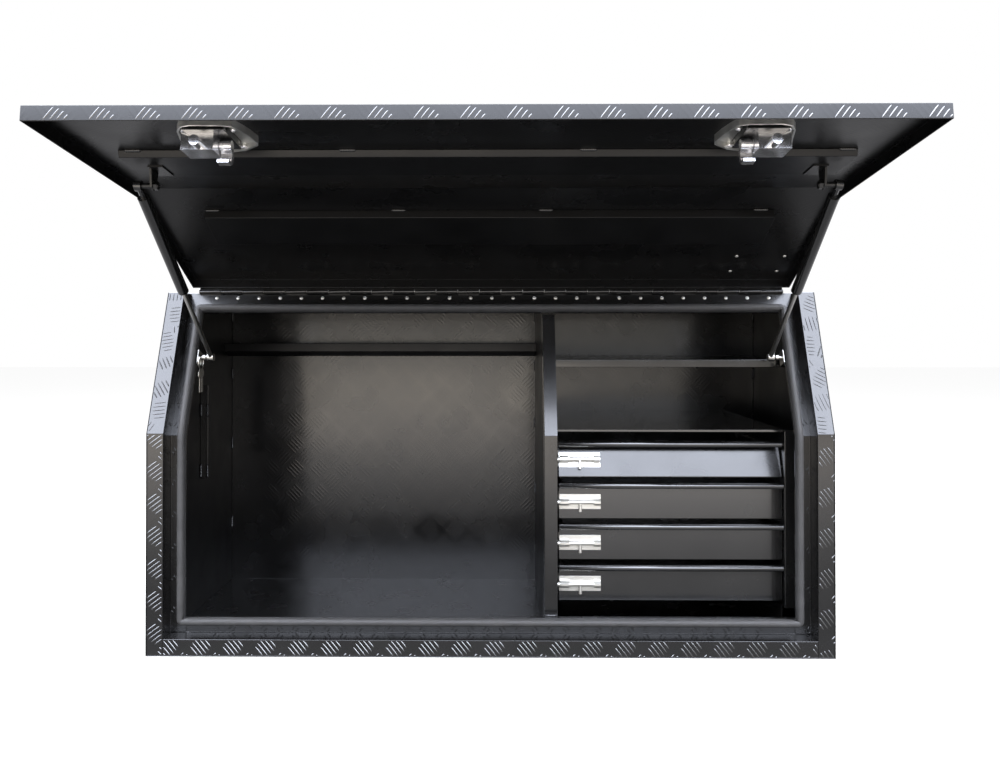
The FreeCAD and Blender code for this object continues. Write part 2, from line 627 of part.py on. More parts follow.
# Drawers with their inner slide members, middle slide members, bolt plates and bolts
for i in range(4):
    tag = str(i + 1)
    top = "drawer_first - drawer_pitch * %d" % i
    rail_z = slide_low[i]
    start = slide_from[i]
    drawer = node("drawer_" + tag)
    foot = top + " - drawer_tall"
    base = foot + " + 6"
    left_x = "cab_left + cab_sheet + drawer_edge"
    right_x = "cab_right - cab_sheet - drawer_edge"
    if i == 0:
        face = [
            (at("drawer_face"), foot),
            (at("drawer_face"), foot + " + 2"),
            (at("drawer_face + lean"), top + " - drawer_lip"),
            (at("drawer_face + lean"), top + " - sheet"),
            (at("cab_front + lean / 2 + sheet"), top + " - sheet"),
            (at("cab_front + lean / 2 + sheet"), top + " - drawer_lip"),
            (at("cab_front + lean / 2"), top + " - drawer_lip"),
            (at("cab_front + lean / 2"), top + " - sheet"),
            (at("cab_front + lean / 2 + sheet"), top),
            (at("drawer_face + lean + cab_sheet"), top),
            (at("drawer_face + lean + cab_sheet"), top + " - drawer_lip"),
            (at("drawer_face + cab_sheet"), foot + " + 2"),
            (at("drawer_face + cab_sheet"), foot),
        ]
    else:
        face = [
            (at("drawer_face"), foot),
            (at("drawer_face"), top + " - sheet"),
            (at("cab_front + sheet"), top + " - sheet"),
            (at("cab_front + sheet"), top + " - drawer_lip"),
            (at("cab_front"), top + " - drawer_lip"),
            (at("cab_front"), top + " - sheet"),
            (at("cab_front + sheet"), top),
            (at("drawer_face + cab_sheet"), top),
            (at("drawer_face + cab_sheet"), foot),
        ]
    add(drawer, "YZ", left_x, right_x, face)
    tray_front = "drawer_face + cab_sheet"
    if i == 0:
        tray_outline = [
            (at(tray_front), foot + " + 2"),
            (at(tray_front + " + lean * 0.875"), base + " + tray_tall - 2"),
            (at(tray_front + " + drawer_long"), base + " + tray_tall - 2"),
            (at(tray_front + " + drawer_long"), foot + " + 2"),
        ]
        hollow = [
            (at(tray_front + " + 2"), foot + " + 2 + sheet"),
            (at(tray_front + " + 2 + lean"), base + " + tray_tall + 2"),
            (at(tray_front + " + drawer_long - sheet"), base + " + tray_tall + 2"),
            (at(tray_front + " + drawer_long - sheet"), foot + " + 2 + sheet"),
        ]
    else:
        tray_outline = box_yz(tray_front, tray_front + " + drawer_long", foot + " + 2", base + " + tray_tall - 2")
        hollow = box_yz(tray_front, tray_front + " + drawer_long - sheet", foot + " + 2 + sheet",
                        base + " + tray_tall")
    add(drawer, "YZ", "tray_left", "tray_right", tray_outline)
    cut(drawer, "YZ", "tray_left + sheet", "tray_right - sheet", hollow)
    for sign in (-1, 1):
        wall_x = "tray_left" if sign < 0 else "tray_right"
        way = "-" if sign < 0 else "+"
        z0 = rail_z + " + slide_step"
        z1 = rail_z + " + slide_tall - slide_step"
        reach = "(slide_wide - 2 * (sheet + slide_gap) - 3)"
        outer = "%s %s %s" % (wall_x, way, reach)
        outlines = [rect(wall_x, outer, z0, z0 + " + sheet"), rect(wall_x, outer, z1 + " - sheet", z1)]
        if sign < 0:
            outlines = [rect(outer, wall_x, z0, z0 + " + sheet"), rect(outer, wall_x, z1 + " - sheet", z1)]
        add(drawer, "XZ", at(start + " + 2"), at(start + " + slide_long - 4"), *outlines)

        middle = node("slide_%s_%s" % (tag, "left" if sign < 0 else "right"))
        outline = slide_profile(sign, 1, "sheet + slide_gap", "slide_wide - 1.5", rail_z)
        add(middle, "XZ", at(start + " + 1"), at(start + " + slide_long - 2"), outline)

    # Bolt plate with two guides, drawn with Y up the drawer face and Z off it
    plate = node("bolt_plate_" + tag)
    plate_end = "bolt_plate_left + bolt_plate_long"
    half_tall = "bolt_plate_tall / 2"
    add(plate, "XY", "plate_gap", "sheet", rect("bolt_plate_left", plate_end, "-" + half_tall, half_tall))
    hub = "bolt_r + 2"
    strap = [("-(bolt_r + 2)", "plate_gap"), ("-(bolt_r + 2)", "bolt_r + 4"), ("-bolt_r / 2", "2 * bolt_r + 4"),
             ("bolt_r / 2", "2 * bolt_r + 4"), ("bolt_r + 2", "bolt_r + 4"), ("bolt_r + 2", "plate_gap")]
    for guide_low, guide_high in (("bolt_plate_left + 1", "bolt_plate_left + 18"),
                                  (plate_end + " - 13", plate_end + " - 1")):
        add(plate, "YZ", guide_low, guide_high, strap)
    cut(plate, "YZ", "bolt_plate_left", plate_end, facets("0", hub, "(bolt_r + fit) / cos(180 deg / 12)", 12))
    bolt = node("bolt_" + tag)
    bolt_end = "post_x + post_wide + bolt_rest"
    add(bolt, "YZ", bolt_end, bolt_end + " + bolt_long", facets("0", hub, "bolt_r", 12))
    add(bolt, "XZ", "-knob_drop", "0", facets("knob_x", hub, "knob_r", 8))
    for piece in (plate, bolt):
        if i == 0:
            place(piece, "90 - lean_angle", 1, "0", at("drawer_face + lean_at"), top + " - bolt_drop")
        else:
            place(piece, "90", 1, "0", at("drawer_face"), top + " - bolt_drop")

# Lid: a folded tray drawn closed and carried to the open position
lid = node("lid_skin")
add(lid, "YZ", "-lid_half", "lid_half", strip_u("lid_inset", "lid_inset + lid_flange", "lid_foot", "lid_end"))
cut(lid, "YZ", "skin - lid_half", "lid_half - skin",
    strip_u("lid_in", "lid_inset + lid_flange + 1", "lid_foot + skin", "lid_end - skin"))

LOCK_OUTLINE = ((-54, -13), (-51, -25), (-28, -46), (-6, -52), (30, -51), (50, -40), (54, -29), (46, 0),
                (39, 31), (30, 48), (16, 54), (-25, 53), (-38, 49), (-43, 37), (-50, 12))
LOCK_SCREWS = ((34, 24), (-32, 24), (-27, -39))
CLAW = ((0, 6), (14, 9.5), (23, 6), (27.5, -2), (26, -13), (22, -13), (22.5, -4), (18, 1), (10, 1.5), (3, -5))


def lock_outline(sign, inset):
    """Outline of the lock, pointed towards the middle of the lid, drawn in by a distance."""
    points = []
    for across, down in LOCK_OUTLINE:
        scale = "(1 - (%s) / 56)" % inset
        points.append(("%d * (lock_x + (%s) * %s)" % (sign, across, scale),
                       "lid_fold - lock_s - (%s) * %s" % (down, scale)))
    return points


def lock_rect(sign, across0, across1, down0, down1):
    """Rectangle about the middle of a lock, measured outboard and towards the free edge."""
    x0, x1 = "%d * (lock_x + (%s))" % (sign, across0), "%d * (lock_x + (%s))" % (sign, across1)
    return rect(x0, x1, "lid_fold - lock_s - (%s)" % down1, "lid_fold - lock_s - (%s)" % down0)


def dish_rect(sign, grown):
    """Outline of the handle dish, grown all round."""
    return lock_rect(sign, "-dish_in - (%s)" % grown, "dish_out + (%s)" % grown,
                     "-dish_up - (%s)" % grown, "dish_down + (%s)" % grown)


def lock_span(sign, across0, across1):
    """Low and high X of a span about the middle of a lock."""
    return side(sign, "(lock_x + (%s))" % across0, "(lock_x + (%s))" % across1)


for label, sign in SIDES:
    opening = dish_rect(sign, "dish_gap")
    cut(lid, "XZ", at("lid_inset - 1"), at("lid_in + 1"), opening)
on_lid(lid)

# Folded stiffening pans welded inside the lid
pan = node("lid_pan_front")
inner_face = at("lid_in")
add(pan, "YZ", "-pan_half", "pan_half", [
    (inner_face, "lid_fold - pan_low_s"),
    (at("lid_in + pan_deep"), "lid_fold - pan_low_s + pan_slant"),
    (at("lid_in + pan_deep"), "lid_fold - pan_high_s - pan_slant"),
    (inner_face, "lid_fold - pan_high_s"),
])
cut(pan, "YZ", "sheet - pan_half", "pan_half - sheet", [
    (inner_face, "lid_fold - pan_low_s + sheet"),
    (at("lid_in + pan_deep - sheet"), "lid_fold - pan_low_s + pan_slant + sheet"),
    (at("lid_in + pan_deep - sheet"), "lid_fold - pan_high_s - pan_slant - sheet"),
    (inner_face, "lid_fold - pan_high_s - sheet"),
])
on_lid(pan)

pan = node("lid_pan_slope")
from_u, to_u = "top_pan_from + lid_in * fold_shift", "top_pan_to + lid_in * fold_shift"
deep_d = "lid_in + top_pan_deep"
add(pan, "YZ", "-top_pan_half", "top_pan_half", [
    on_slope(from_u, "lid_in"),
    on_slope(from_u + " + pan_slant", deep_d),
    on_slope(to_u + " - pan_slant", deep_d),
    on_slope(to_u, "lid_in"),
])
cut(pan, "YZ", "sheet - top_pan_half", "top_pan_half - sheet", [
    on_slope(from_u + " + sheet", "lid_in"),
    on_slope(from_u + " + pan_slant + sheet", deep_d + " - sheet"),
    on_slope(to_u + " - pan_slant - sheet", deep_d + " - sheet"),
    on_slope(to_u + " - sheet", "lid_in"),
])
on_lid(pan)

# Locks: dish and handle outside, clamp ring, case, barrel and claw inside
for label, sign in SIDES:
    mid_z = "lid_fold - lock_s"
    ring = node("lock_ring_" + label)
    ring_top = "lid_in + ring_tall"
    add(ring, "XZ", at("lid_in"), at(ring_top), lock_outline(sign, "0"))
    cut(ring, "XZ", at("lid_in + ring_base"), at(ring_top), lock_outline(sign, "ring_wall"))
    cut(ring, "XZ", at("lid_in"), at("lid_in + ring_base"), dish_rect(sign, "dish_gap"))
    for across, down in LOCK_SCREWS:
        spot = ("%d * (lock_x + (%s))" % (sign, across), "%s - (%s)" % (mid_z, down))
        add(ring, "XZ", at("lid_in"), at("lid_in + boss_tall"), facets(spot[0], spot[1], "boss_r", 12))
    on_lid(ring)

    dish = node("lock_dish_" + label)
    floor_d = "lid_in + dish_deep"
    add(dish, "XZ", at("lid_inset - dish_rim"), at("lid_inset"), lock_outline(sign, "0"))
    add(dish, "XZ", at("lid_inset"), at(floor_d), dish_rect(sign, "0"))
    cut(dish, "XZ", at("lid_inset - dish_rim"), at(floor_d + " - dish_wall"), dish_rect(sign, "-dish_wall"))
    axle = ((at("lid_inset + 7"), mid_z + " + axle_up"), "axle_r + fit")
    low, high = lock_span(sign, "-dish_in", "dish_out")
    cut_round(dish, "YZ", low, high, axle)
    on_lid(dish)

    handle = node("lock_handle_" + label)
    add(handle, "XZ", at("lid_inset + 0.5"), at("lid_inset + 4.5"), dish_rect(sign, "-dish_wall - handle_gap"))
    low, high = lock_span(sign, "dish_wall + handle_gap + 1 - dish_in", "dish_out - dish_wall - handle_gap - 1")
    add(handle, "YZ", low, high, rect(at("lid_inset + 4.5"), at("lid_inset + 7 + axle_r"),
                                      mid_z + " + axle_up - axle_r", mid_z + " + axle_up + axle_r"))
    low, high = lock_span(sign, "dish_gap - dish_in", "dish_out - dish_gap")
    add_round(handle, "YZ", low, high, ((at("lid_inset + 7"), mid_z + " + axle_up"), "axle_r"))
    on_lid(handle)

    case = node("lock_case_" + label)
    add(case, "XZ", at(floor_d), at(floor_d + " + case_tall"), lock_rect(sign, -9, 33, -5, 32))
    barrel = ("%d * (lock_x + 9.5)" % sign, at(floor_d + " + case_tall - barrel_r"))
    add_round(case, "XY", mid_z + " - 50", mid_z + " - 32", (barrel, "barrel_r"))
    hub = (at(floor_d + " + claw_off"), mid_z + " - 4")
    low, high = lock_span(sign, -9, 6)
    cut_round(case, "YZ", low, high, (hub, "claw_r + fit"))
    on_lid(case)

    claw = node("lock_claw_" + label)
    low, high = lock_span(sign, -10, 5)
    add_round(claw, "YZ", low, high, (hub, "claw_r"))
    low, high = lock_span(sign, -25, -10)
    add(claw, "YZ", low, high, facets(hub[0], hub[1], "claw_hub", 16))
    add(claw, "YZ", low, high, [("%s + (%s)" % (hub[0], deep), "%s + (%s)" % (hub[1], up)) for deep, up in CLAW])
    on_lid(claw)


def off_ball(points):
    """Corners measured from the lower ball."""
    return [("%s - stud_y" % y, "%s - stud_z" % z) for y, z in points]


# Gas struts: bracket and stud on the lid, cylinder, rod, bracket and ball on the box
for label, sign in SIDES:
    bracket = node("strut_bracket_up_" + label)
    pan_face = "lid_in + pan_deep"
    mid_z = "lid_fold - ball_up_s"
    stud_spot = (at("lid_in + ball_up_off"), mid_z)
    low, high = side(sign, "strut_x - 42", "strut_x - 20")
    add(bracket, "YZ", low, high, box_yz(pan_face, pan_face + " + skin", mid_z + " - 20", mid_z + " + 24"))
    low, high = side(sign, "strut_x - 23", "strut_x - 20")
    add(bracket, "YZ", low, high, [
        (at(pan_face), mid_z + " - 14"),
        (at("lid_in + ball_up_off + 4"), mid_z + " - 8"),
        (at("lid_in + ball_up_off + 8"), mid_z),
        (at("lid_in + ball_up_off + 4"), mid_z + " + 8"),
        (at(pan_face), mid_z + " + 14"),
    ])
    low, high = side(sign, "strut_x - 30", "strut_x + 7")
    add_round(bracket, "YZ", low, high, (stud_spot, "stud_r"))
    low, high = side(sign, "strut_x - 29", "strut_x - 23")
    add(bracket, "YZ", low, high, facets(stud_spot[0], stud_spot[1], "stud_r + 3", 6))
    on_lid(bracket)

    tube = node("strut_tube_" + label)
    centre = ("%d * strut_x" % sign, "0")
    low, high = side(sign, "strut_x - 5", "strut_x + 5")
    add(tube, "YZ", low, high, facets("0", "0", "eye_r", 12))
    add(tube, "XY", "0", "strut_tube_from", facets(centre[0], centre[1], "stud_r + 0.5", 8))
    add_round(tube, "XY", "strut_tube_from", "strut_tube_to", (centre, "strut_r"))
    cut_round(tube, "XY", "strut_tube_from + 6", "strut_tube_to - 6", (centre, "strut_r - 1.5"))
    cut_round(tube, "XY", "strut_tube_to - 6", "strut_tube_to", (centre, "strut_rod_r + fit"))
    cut_round(tube, "YZ", low, high, (("0", "0"), "stud_r + fit"))
    place(tube, "strut_turn", -1, "0", "up_y", "up_z")

    rod = node("strut_rod_" + label)
    inner_end = "strut_open - eye_r - strut_rod_long"
    add_round(rod, "XY", inner_end, "strut_open", (centre, "strut_rod_r"))
    add_round(rod, "XY", inner_end, inner_end + " + 8", (centre, "strut_r - 1.6"))
    low, high = side(sign, "strut_x - 5", "strut_x + 6")
    add(rod, "YZ", low, high, facets("0", "strut_open", "eye_r - 1", 12))
    place(rod, "strut_turn", -1, "0", "up_y", "up_z")

    foot = node("strut_bracket_low_" + label)
    low, high = side(sign, "ball_low_x + 9", "ball_low_x + 11")
    add(foot, "YZ", low, high, off_ball(slab("ball_u - 12", "ball_u + 12", "ball_d - 9", "recess + skin")))
    low, high = side(sign, "ball_low_x + 9", "ball_low_x + 41")
    add(foot, "YZ", low, high,
        off_ball(slab("ball_u - 12", "ball_u + 12", "recess + skin", "recess + 2 * skin")))
    profile = []
    for across, up in (("9", "0"), ("9", "3"), ("4", "3"), ("2.5", "ball_r"), ("-2.5", "ball_r"),
                       ("-ball_r", "ball_r / 2"), ("-ball_r", "0")):
        profile.append(("%d * (ball_low_x + (%s))" % (sign, across), up))
    turn(foot, "XY", profile)
    place(foot, "0", 1, "0", "stud_y", "stud_z")

# Keys on a split ring, hung over the left lower stud
keys = node("keys")
low, high = "-ball_low_x - 7.6", "-ball_low_x - 5.8"
hang = "3.2 - (ring_r - ring_wire)"
add_round(keys, "YZ", low, high, (("0", hang), "ring_r + ring_wire"), (("0", hang), "ring_r - ring_wire"))
for across, lift in ((-5, 0), (5, 2)):
    head = (str(across), "3.2 - 2 * ring_r - 8 + %d" % lift)
    add(keys, "YZ", low, high, facets(head[0], head[1], "9", 8))
    blade = "-(2 * ring_r + 8 + key_long - 20)"
    add(keys, "YZ", low, high, rect("%d - 3.5" % across, "%d + 3.5" % across, blade, "-2 * ring_r - 8"))
place(keys, "0", 1, "0", "stud_y", "stud_z")

# Every feature must have worked, every opening must remove something, every solid must be sound
doc.recompute()
problems = []
for obj in doc.Objects:
    if "Invalid" in obj.State or "Error" in obj.State:
        problems.append(obj.Name + " did not recompute")
for feature, before in CUTS:
    if feature.Shape.isNull() or feature.Shape.Volume > before.Shape.Volume - 0.01:
        problems.append(feature.Name + " removes nothing")
for name, body in NODES.items():
    if body.Shape.isNull() or not body.Shape.isValid():
        problems.append(name + " is not a sound solid")
    elif len(body.Shape.Solids) != PIECES.get(name, 1):
        problems.append("%s has %d solids" % (name, len(body.Shape.Solids)))
if problems:
    raise RuntimeError("; ".join(problems))

os.makedirs("parts", exist_ok=True)
for name, body in NODES.items():
    body.Shape.exportStep("parts/" + name + ".step")
print("%d pieces written" % len(NODES))
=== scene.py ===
"""Looks of a steel toolbox with a cranked lift-up lid and four locking drawers.

Lengths in the classes are millimetres in the frame of the model: X across, Y to the rear,
Z up, with the front plane at Y = -240. Meshes are written in metres.
"""

from __future__ import annotations

import json
import logging
import math
from dataclasses import dataclass, field, replace
from enum import Enum
from typing import Sequence

import bpy
import numpy as np
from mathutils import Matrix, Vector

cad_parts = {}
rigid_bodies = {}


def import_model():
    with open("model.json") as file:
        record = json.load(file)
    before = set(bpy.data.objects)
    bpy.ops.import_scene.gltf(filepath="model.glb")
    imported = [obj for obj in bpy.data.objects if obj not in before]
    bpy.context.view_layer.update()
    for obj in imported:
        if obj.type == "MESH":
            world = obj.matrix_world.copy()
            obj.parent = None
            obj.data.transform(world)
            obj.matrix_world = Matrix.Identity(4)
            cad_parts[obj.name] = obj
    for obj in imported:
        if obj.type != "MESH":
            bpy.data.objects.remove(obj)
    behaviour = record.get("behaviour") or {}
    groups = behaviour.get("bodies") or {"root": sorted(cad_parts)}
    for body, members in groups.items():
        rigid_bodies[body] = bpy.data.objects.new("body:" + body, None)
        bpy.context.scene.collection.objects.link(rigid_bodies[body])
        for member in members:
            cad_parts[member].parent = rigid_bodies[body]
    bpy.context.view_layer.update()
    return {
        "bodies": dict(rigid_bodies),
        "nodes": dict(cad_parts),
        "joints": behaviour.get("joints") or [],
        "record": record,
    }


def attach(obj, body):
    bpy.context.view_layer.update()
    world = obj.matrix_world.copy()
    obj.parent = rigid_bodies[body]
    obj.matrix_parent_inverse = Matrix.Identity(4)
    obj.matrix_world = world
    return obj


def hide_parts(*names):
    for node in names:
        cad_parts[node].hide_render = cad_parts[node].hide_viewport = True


LOG = logging.getLogger("toolbox")
MM = 0.001
MERGE_WITHIN = 2e-6
X_WAY = (1, 0, 0)
Y_WAY = (0, 1, 0)
UP = (0, 0, 1)

Triple = tuple[float, float, float]
Mesh = tuple[np.ndarray, list]
Socket = bpy.types.NodeSocket


class Side(Enum):
    """The two ends of the box, with the sign of their X."""

    LEFT = -1
    RIGHT = 1

    @property
    def label(self) -> str:
        """Name used in piece names."""
        return self.name.lower()


@dataclass(frozen=True)
class BoxSizes:
    """Sizes of the box that its looks are set out from, in millimetres."""

    half_width: float = 600.0
    depth: float = 480.0
    front: float = -240.0
    height: float = 640.0
    fold: float = 388.0
    slope_depth: float = 98.0
    border: float = 30.0
    recess: float = 37.0
    skin: float = 2.0
    lid_inset: float = 3.0
    lid_flange: float = 20.0
    lid_half: float = 567.0
    lid_foot: float = 34.0
    lid_end: float = 285.6
    hinge_u: float = 285.7
    hinge_d: float = 31.0
    open_deg: float = 96.5
    seal_x: float = 543.0
    seal_z: float = 56.7
    seal_u: float = 245.0
    lock_x: float = 358.5
    lock_s: float = 261.0

    @property
    def opening_half(self) -> float:
        """Half the width between the front borders."""
        return self.half_width - self.border

    @property
    def slope(self) -> tuple[float, float]:
        """Unit run and rise of the sloped front."""
        run, rise = self.slope_depth, self.height - self.fold
        length = math.hypot(run, rise)
        return run / length, rise / length

    @property
    def shift(self) -> float:
        """Drop of the bend for each millimetre under the face."""
        ty, tz = self.slope
        return (1 - tz) / ty

    def on_slope(self, u: float, d: float) -> tuple[float, float]:
        """Y and Z at u up the slope from the bend and d under the face."""
        ty, tz = self.slope
        return u * ty + d * tz + self.front, self.fold + u * tz - d * ty

    def bend(self, d: float) -> tuple[float, float]:
        """Y and Z of the bend at the depth d."""
        return self.front + d, self.fold - d * self.shift

    @property
    def lid_fold(self) -> float:
        """Height of the inner bend of the closed lid."""
        return self.fold - (self.lid_inset + self.skin) * self.shift

    def opened(self, points: np.ndarray) -> np.ndarray:
        """Points on the closed lid carried to the open one by a turn about the hinge.

        Args:
            points: places on the closed lid, in millimetres.

        Returns:
            The same places on the open lid.
        """
        y0, z0 = self.on_slope(self.hinge_u, self.hinge_d)
        angle = math.radians(self.open_deg)
        c, s = math.cos(angle), math.sin(angle)
        out = np.array(points, float)
        y, z = out[..., 1] - y0, out[..., 2] - z0
        out[..., 1] = y0 + c * y + s * z
        out[..., 2] = z0 - s * y + c * z
        return out


SIZES = BoxSizes()


def grid_faces(nu: int, nv: int, close_u: bool = False, close_v: bool = False) -> np.ndarray:
    """Quads of a grid of nu by nv points.

    Args:
        nu: points along the first way.
        nv: points along the second way.
        close_u: join the last row to the first.
        close_v: join the last column to the first.

    Returns:
        Array of four corner numbers a face.
    """
    rows, columns = (nu if close_u else nu - 1), (nv if close_v else nv - 1)
    i, j = np.meshgrid(np.arange(rows), np.arange(columns), indexing="ij")
    i, j = i.ravel(), j.ravel()
    a, b = i * nv + j, ((i + 1) % nu) * nv + j
    c, d = ((i + 1) % nu) * nv + (j + 1) % nv, i * nv + (j + 1) % nv
    return np.stack([a, b, c, d], 1)


def make_mesh(name: str, points: np.ndarray, faces: Sequence, body: str, finish: "Finish",
              smooth: bool = True) -> bpy.types.Object:
    """A piece from points in millimetres.

    Args:
        name: name of the piece.
        points: corner points, in millimetres.
        faces: corner numbers of each face.
        body: moving body that carries the piece.
        finish: finish of the piece.
        smooth: shade the faces as one curved surface.

    Returns:
        The new object, riding on its body.
    """
    mesh = bpy.data.meshes.new(name)
    flat = np.asarray(points, float).reshape(-1, 3) * MM
    mesh.from_pydata(flat.tolist(), [], [list(map(int, f)) for f in faces])
    mesh.validate()
    mesh.polygons.foreach_set("use_smooth", np.full(len(mesh.polygons), smooth))
    mesh.update()
    piece = bpy.data.objects.new(name, mesh)
    bpy.context.scene.collection.objects.link(piece)
    piece.data.materials.append(finish.material())
    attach(piece, body)
    return piece


def join(parts: Sequence[Mesh]) -> Mesh:
    """Points and faces of several meshes as one.

    Args:
        parts: meshes to put together.

    Returns:
        One mesh.
    """
    points, faces, start = [], [], 0
    for p, f in parts:
        p = np.asarray(p, float).reshape(-1, 3)
        points.append(p)
        faces += [[int(k) + start for k in face] for face in f]
        start += len(p)
    return np.concatenate(points), faces


def lathe(profile: Sequence[tuple[float, float]], centre: Sequence[float], axis: Sequence[float],
          turns: int = 24) -> Mesh:
    """Solid of revolution: each profile point (along, radius) is carried round the axis.

    Args:
        profile: places along the axis and radii, from one end to the other.
        centre: where along = 0 lies.
        axis: direction of the axis.
        turns: points round the axis.

    Returns:
        Points and faces, with both ends closed.
    """
    n = np.asarray(axis, float)
    n = n / np.linalg.norm(n)
    side = np.cross(n, [0.0, 0.0, 1.0] if abs(n[2]) < 0.9 else [1.0, 0.0, 0.0])
    side /= np.linalg.norm(side)
    other = np.cross(n, side)
    a = np.linspace(0, 2 * math.pi, turns, endpoint=False)
    ring = np.cos(a)[:, None] * side + np.sin(a)[:, None] * other
    prof = np.asarray(profile, float)
    along, radius = prof[:, 0][:, None, None], prof[:, 1][:, None, None]
    points = np.asarray(centre, float) + along * n + radius * ring[None]
    faces = grid_faces(len(prof), turns, close_v=True)[:, ::-1].tolist()
    faces.append(list(range(turns)))
    last = (len(prof) - 1) * turns
    faces.append([last + k for k in range(turns - 1, -1, -1)])
    return points, faces


def tube(path: np.ndarray, radius: float, turns: int = 12, closed: bool = False) -> Mesh:
    """Round tube along a path: a circle is carried square to the path's tangent.

    Args:
        path: points of the centre line.
        radius: radius of the tube.
        turns: points round the tube.
        closed: the path is a loop.

    Returns:
        Points and faces.
    """
    path = np.asarray(path, float)
    if closed:
        tangent = np.roll(path, -1, 0) - np.roll(path, 1, 0)
    else:
        tangent = np.gradient(path, axis=0)
    tangent /= np.linalg.norm(tangent, axis=1)[:, None]
    steep = 0.95
    guide = np.array([0.0, 0.0, 1.0]) if abs(tangent[:, 2]).max() < steep else np.array([1.0, 0.0, 0.0])
    if abs(tangent @ guide).max() > steep:
        guide = np.array([0.3, 0.5, 0.81])
    side = np.cross(tangent, guide)
    side /= np.linalg.norm(side, axis=1)[:, None]
    other = np.cross(tangent, side)
    a = np.linspace(0, 2 * math.pi, turns, endpoint=False)
    points = path[:, None] + radius * (np.cos(a)[None, :, None] * side[:, None]
                                       + np.sin(a)[None, :, None] * other[:, None])
    faces = grid_faces(len(path), turns, close_u=closed, close_v=True)[:, ::-1].tolist()
    if not closed:
        faces.append(list(range(turns)))
        last = (len(path) - 1) * turns
        faces.append([last + k for k in range(turns - 1, -1, -1)])
    return points, faces


class Nodes:
    """Small helper that wires a node tree."""

    def __init__(self, tree: bpy.types.NodeTree) -> None:
        """Work on a tree."""
        self.tree = tree

    def add(self, kind: str, **values: object) -> bpy.types.Node:
        """Node of a kind with its properties set.

        Args:
            kind: type name of the node.
            values: its properties.

        Returns:
            The new node.
        """
        node = self.tree.nodes.new(kind)
        for key, value in values.items():
            setattr(node, key, value)
        return node

    def link(self, start: Socket, end: Socket) -> None:
        """Wire two sockets."""
        self.tree.links.new(start, end)

    def math(self, kind: str, a: object, b: object = 0.0, c: object = 0.0) -> Socket:
        """Result of a math node whose inputs are sockets or numbers.

        Args:
            kind: its operation.
            a: first input.
            b: second input.
            c: third input.

        Returns:
            Result socket.
        """
        node = self.add("ShaderNodeMath", operation=kind)
        for socket, value in zip(node.inputs, (a, b, c)):
            if isinstance(value, (int, float)):
                socket.default_value = float(value)
            else:
                self.link(value, socket)
        return node.outputs[0]

    def noise(self, vector: Socket, scale: Socket, detail: float = 2.0) -> Socket:
        """Value of a noise texture.

        Args:
            vector: where it is looked up.
            scale: scale socket.
            detail: octaves.

        Returns:
            Value socket.
        """
        node = self.add("ShaderNodeTexNoise")
        node.inputs["Detail"].default_value = detail
        self.link(vector, node.inputs["Vector"])
        self.link(scale, node.inputs["Scale"])
        return node.outputs["Fac"]

    def split(self, vector: Socket) -> Sequence[Socket]:
        """The three parts of a vector."""
        node = self.add("ShaderNodeSeparateXYZ")
        self.link(vector, node.inputs[0])
        return node.outputs

    def ramp(self, value: Socket, marks: Sequence[tuple[float, Triple]], smooth: bool = False) -> Socket:
        """Colour that follows a value.

        Args:
            value: where along the ramp.
            marks: places along the ramp with their colours, the two ends first and last.
            smooth: ease between the marks rather than run straight.

        Returns:
            Colour socket.
        """
        node = self.add("ShaderNodeValToRGB")
        stops = node.color_ramp
        if smooth:
            stops.interpolation = "EASE"
        for end, (position, colour) in zip((0, 1), (marks[0], marks[-1])):
            stops.elements[end].position = position
            stops.elements[end].color = (*colour, 1)
        for position, colour in marks[1:-1]:
            stops.elements.new(position).color = (*colour, 1)
        self.link(value, node.inputs["Fac"])
        return node.outputs["Color"]

    def step(self, value: Socket, low: float, high: float) -> Socket:
        """0 below low, 1 above high and a smooth step between.

        Args:
            value: what is tested.
            low: start of the step.
            high: end of the step.

        Returns:
            Mask socket.
        """
        node = self.add("ShaderNodeMapRange", interpolation_type="SMOOTHSTEP")
        node.inputs["From Min"].default_value = low
        node.inputs["From Max"].default_value = high
        self.link(value, node.inputs["Value"])
        return node.outputs[0]

    def glow(self, kind: str, colour: object, strength: object) -> Socket:
        """Glowing shader of a kind, whose inputs are sockets or constants.

        Args:
            kind: background or emission node.
            colour: socket or three numbers.
            strength: socket or number.

        Returns:
            Shader socket.
        """
        node = self.add(kind)
        for label, value in (("Color", colour), ("Strength", strength)):
            if isinstance(value, Socket):
                self.link(value, node.inputs[label])
            else:
                node.inputs[label].default_value = (*value, 1) if label == "Color" else value
        return node.outputs[0]

    def either(self, test: Socket, no: Socket, yes: Socket) -> Socket:
        """One of two shaders, by a mask.

        Args:
            test: the mask.
            no: shader where it is 0.
            yes: shader where it is 1.

        Returns:
            Shader socket.
        """
        node = self.add("ShaderNodeMixShader")
        for start, end in zip((test, no, yes), node.inputs):
            self.link(start, end)
        return node.outputs[0]


